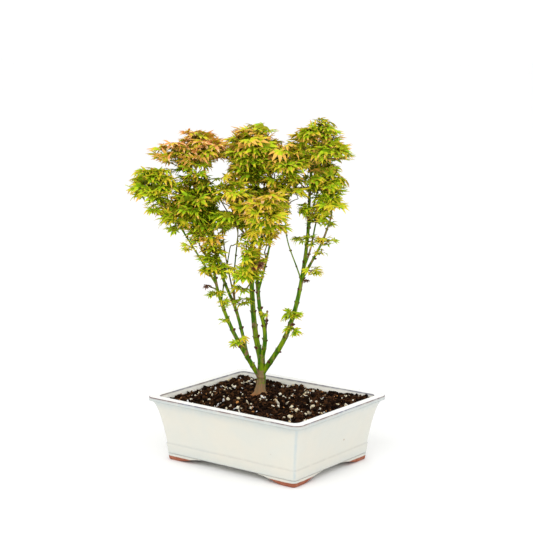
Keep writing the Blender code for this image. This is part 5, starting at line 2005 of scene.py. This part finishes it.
    def wood(self, stem: Curve, shoots: list[Curve], leaves: Leaves, nearest: np.ndarray,
             controls: np.ndarray, ends: np.ndarray) -> Surface:
        """Make a mass's twigs, each cut back to the last thing that it carries.

        Args:
            stem: The mass's stem.
            shoots: The stem and its side shoots.
            leaves: The leaves that are kept.
            nearest: The shoot sample that each spray leaves.
            controls: The control point of each spray's arch.
            ends: The tip of each spray.

        Returns:
            The twigs.
        """
        spots = [self.perches(shoot.samples) for shoot in shoots]
        lines = np.concatenate(spots)
        owner = np.concatenate([np.full(len(part), n) for n, part in enumerate(spots)])
        marks = np.concatenate([self.perches(shoot.marks) for shoot in shoots])
        used = np.unique(leaves.spray)
        last = np.array([leaves.spot[leaves.spray == spray].max() for spray in used])
        reach = [marks[nearest[used]][owner[nearest[used]] == n].max(initial=0.0)
                 for n in range(len(shoots))]
        twigs = Surface()
        for shoot, length in zip(shoots[1:], reach[1:]):
            if length > 0.0:
                self.twig(twigs, shoot, 6, length)
                away = np.linalg.norm(stem.samples - shoot.samples[0], axis=1)
                reach[0] = max(reach[0], float(stem.marks[np.argmin(away)]))
        self.twig(twigs, stem, 7, max(reach[0], 0.3 * stem.length))
        self.arches(twigs, lines[nearest[used]], controls[used], ends[used], last)
        return twigs

    @staticmethod
    def twig(twigs: Surface, curve: Curve, sides: int, length: float) -> None:
        """Add one tapering twig, its ring radius read from its curve.

        Args:
            twigs: Where it goes.
            curve: Its centre line.
            sides: Points in a ring.
            length: How much of the curve it follows.
        """
        marks = np.linspace(0.0, length, max(4, int(length / 0.003)))
        centres, out, _ = curve.tube(marks, sides)
        points = centres[:, None] + out * curve.radii(marks)[:, None, None]
        twigs.add(np.concatenate((points.reshape(-1, 3), centres[:1], centres[-1:])),
                  tube_faces(len(marks), sides), node=0.0, old=0.25, flare=0.0)

    def arches(self, twigs: Surface, roots: np.ndarray, controls: np.ndarray,
               ends: np.ndarray, last: np.ndarray) -> None:
        """Add the sprays' own twigs: tubes round quadratic arches, six rings of four points.

        Each ends at the share of its arch that its last leaf stands on.
        """
        t = np.linspace(0.0, 1.0, 6)[None, :, None] * last[:, None, None]
        self.bundle(twigs, arch(roots, controls, ends, t),
                    np.linspace(1.0, 0.6, 6) * self.spray_radius, 4)

    @staticmethod
    def bundle(surface: Surface, lines: np.ndarray, radii: np.ndarray, sides: int) -> None:
        """Add many thin tubes at once.

        Args:
            surface: Where they go.
            lines: Centre lines, as tube, ring and axis.
            radii: The radius of each ring.
            sides: Points in a ring.
        """
        tubes, rows = lines.shape[:2]
        tangents = unit(np.gradient(lines, axis=1))
        helper = np.broadcast_to((0.31, 0.17, 0.94), tangents.shape)
        first = unit(np.cross(tangents, helper))
        second = np.cross(tangents, first)
        angle = circle(sides)[:, None]
        ring = np.cos(angle) * first[:, :, None] + np.sin(angle) * second[:, :, None]
        points = lines[:, :, None] + ring * radii[None, :, None, None]
        cap = np.arange(sides)[None]
        parts = (grid_faces(rows, sides), cap[:, ::-1], cap + (rows - 1) * sides)
        surface.add(points.reshape(-1, 3), [copied(part, tubes, rows * sides) for part in parts],
                    node=0.0, old=0.15, flare=0.0)

    def dress(self, surface: Surface, leaves: Leaves, shade: np.ndarray, palette: Palette,
              chance: np.random.Generator) -> None:
        """Add a mass's blades, each face in the tint of its shade.

        The heart of a leaf is one step nearer the shaded end of the palette, its tips one
        step nearer the sunned end.

        Args:
            surface: Where the blades go.
            leaves: The leaves.
            shade: The shade of each.
            palette: Tints of the mass.
            chance: Source of the random numbers.
        """
        quads, tips = self.shape.faces()
        points = leaves.blades(self.shape)
        number, size = points.shape[:2]
        tints = list(Tint)
        ladder = np.array([tints.index(tint) for tint in palette.value])
        step = (shade * (len(ladder) - 1))[:, None]
        heart = np.tile(self.heart_steps, 7)
        lobe = chance.normal(0.0, self.tint_stray, (number, 7))
        quad_step = step + heart + np.repeat(lobe, 4, axis=1)
        tip_step = step + self.tip_steps + np.repeat(lobe, 2, axis=1)
        pick = [ladder[np.clip(np.rint(part), 0, len(ladder) - 1).astype(int)].ravel()
                for part in (quad_step, tip_step)]
        surface.add(points.reshape(-1, 3),
                    [copied(quads, number, size), copied(tips, number, size)], pick)

    def build(self) -> None:
        """Grow every mass and join what grew: twigs, stalks, and blades by their palette."""
        tints = [PlainFinish("leaf_" + tint.name.lower(), tint.value).material() for tint in Tint]
        blades = {palette: Surface() for palette in Palette}
        twigs, stalks = Surface(), Surface()
        total = 0
        for number, mass in enumerate(MASSES):
            chance = np.random.default_rng((self.seed, number + 1000 * mass.draw))
            leaves, wood, shade = self.grow(mass, chance)
            self.dress(blades[mass.palette], leaves, shade, mass.palette, chance)
            twigs.extend(wood)
            t = np.array((0.0, 0.5, 1.0))[None, :, None]
            lines = leaves.node[:, None] + (leaves.joint - leaves.node)[:, None] * t
            self.bundle(stalks, lines, np.array((1.0, 0.8, 0.9)) * self.stalk_radius, 3)
            total += len(leaves.size)
        leader = Curve(self.plant.place(np.array(self.leader)), self.leader_radius,
                       self.leader_radius)
        self.twig(twigs, leader, 6, leader.length)
        log.info("leaves: %d", total)
        names = dict.fromkeys(mass.name for mass in MASSES)
        piece = twigs.to_piece("crown_twigs", [self.twig_bark.material()])
        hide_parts(*names)
        piece = stalks.to_piece("leaf_stalks", [
            PlainFinish("leaf_stalk", (0.38, 0.20, 0.05)).material()])
        for palette, surface in blades.items():
            piece = surface.to_piece("leaves_" + palette.name.lower(), tints, smooth=False)
            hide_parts(*dict.fromkeys(mass.name for mass in MASSES
                                              if mass.palette is palette))


# Studio -------------------------------------------------------------------------------------

@dataclass
class Studio:
    """Pale floor, soft lights and the camera."""

    middle: np.ndarray
    camera_place: tuple[float, float, float] = (1.08618, -1.42219, 0.54232)
    camera_azimuth: float = 37.399
    camera_pitch: float = 9.130
    lens: float = 95.56
    floor_size: float = 60.0
    sky: float = 1.06

    def floor(self) -> None:
        """Lay the floor as a square grid."""
        count = 9
        u, v = np.meshgrid(np.linspace(-0.5, 0.5, count), np.linspace(-0.5, 0.5, count))
        points = np.stack((u, v, 0 * u), axis=-1).reshape(-1, 3) * self.floor_size
        shader = Shader("pale_floor", 0.9, 0.1)
        tone = shader.mix(shader.noise(1.5, 2.0), (0.94, 0.94, 0.94), (0.96, 0.96, 0.96))
        mesh = bpy.data.meshes.new("floor")
        mesh.from_pydata(points.tolist(), [], grid_faces(count, count, closed=False).tolist())
        mesh.materials.append(shader.finish(tone))
        put_in_scene("floor", mesh)

    def light(self, name: str, place: tuple[float, float, float], size: float,
              power: float) -> None:
        """Hang one square soft light that looks at the crown.

        Args:
            name: The light's name.
            place: Where it hangs, from the pot's middle.
            size: Length of its side.
            power: Its strength in watts.
        """
        lamp = bpy.data.lights.new(name, "AREA")
        lamp.size = size
        lamp.energy = power
        holder = put_in_scene(name, lamp)
        target = self.middle + (0, 0, 0.25)
        spot = self.middle + place
        holder.location = spot
        x, y, z = unit(spot - target)
        holder.rotation_euler = (math.acos(z), 0.0, math.atan2(y, x) + math.pi / 2)

    def camera(self) -> None:
        """Stand the camera and make it the scene's."""
        eye = bpy.data.cameras.new("camera")
        eye.lens = self.lens
        eye.sensor_width = 36.0
        holder = put_in_scene("camera", eye)
        holder.location = self.middle + self.camera_place
        holder.rotation_euler = (math.radians(90.0 - self.camera_pitch), 0.0,
                                 math.radians(self.camera_azimuth))
        bpy.context.scene.camera = holder

    def build(self) -> None:
        """Build the whole studio."""
        scene = bpy.context.scene
        scene.view_settings.view_transform = "Standard"
        world = bpy.data.worlds.new("studio")
        world.use_nodes = True
        world.node_tree.nodes["Background"].inputs["Strength"].default_value = self.sky
        world.node_tree.nodes["Background"].inputs["Color"].default_value = (1, 1, 1, 1)
        scene.world = world
        self.floor()
        self.light("key", (0.7, -2.0, 2.0), 1.6, 18.0)
        self.light("fill", (2.2, -0.6, 1.4), 1.8, 4.0)
        self.camera()


def main() -> None:
    """Build the pot, its feet, the soil, the plant and the studio, in that order."""
    logging.basicConfig(level=logging.INFO, format="%(name)s: %(message)s")
    plant = PlantFrame()
    pot = Pot()
    pot.build()
    Feet(pot).build()
    Soil(pot, plant).build()
    stems = Stems(plant)
    curves = stems.build()
    Foliage(plant, curves).build()
    Studio(pot_middle()).build()


if __name__ == "__main__":
    main()
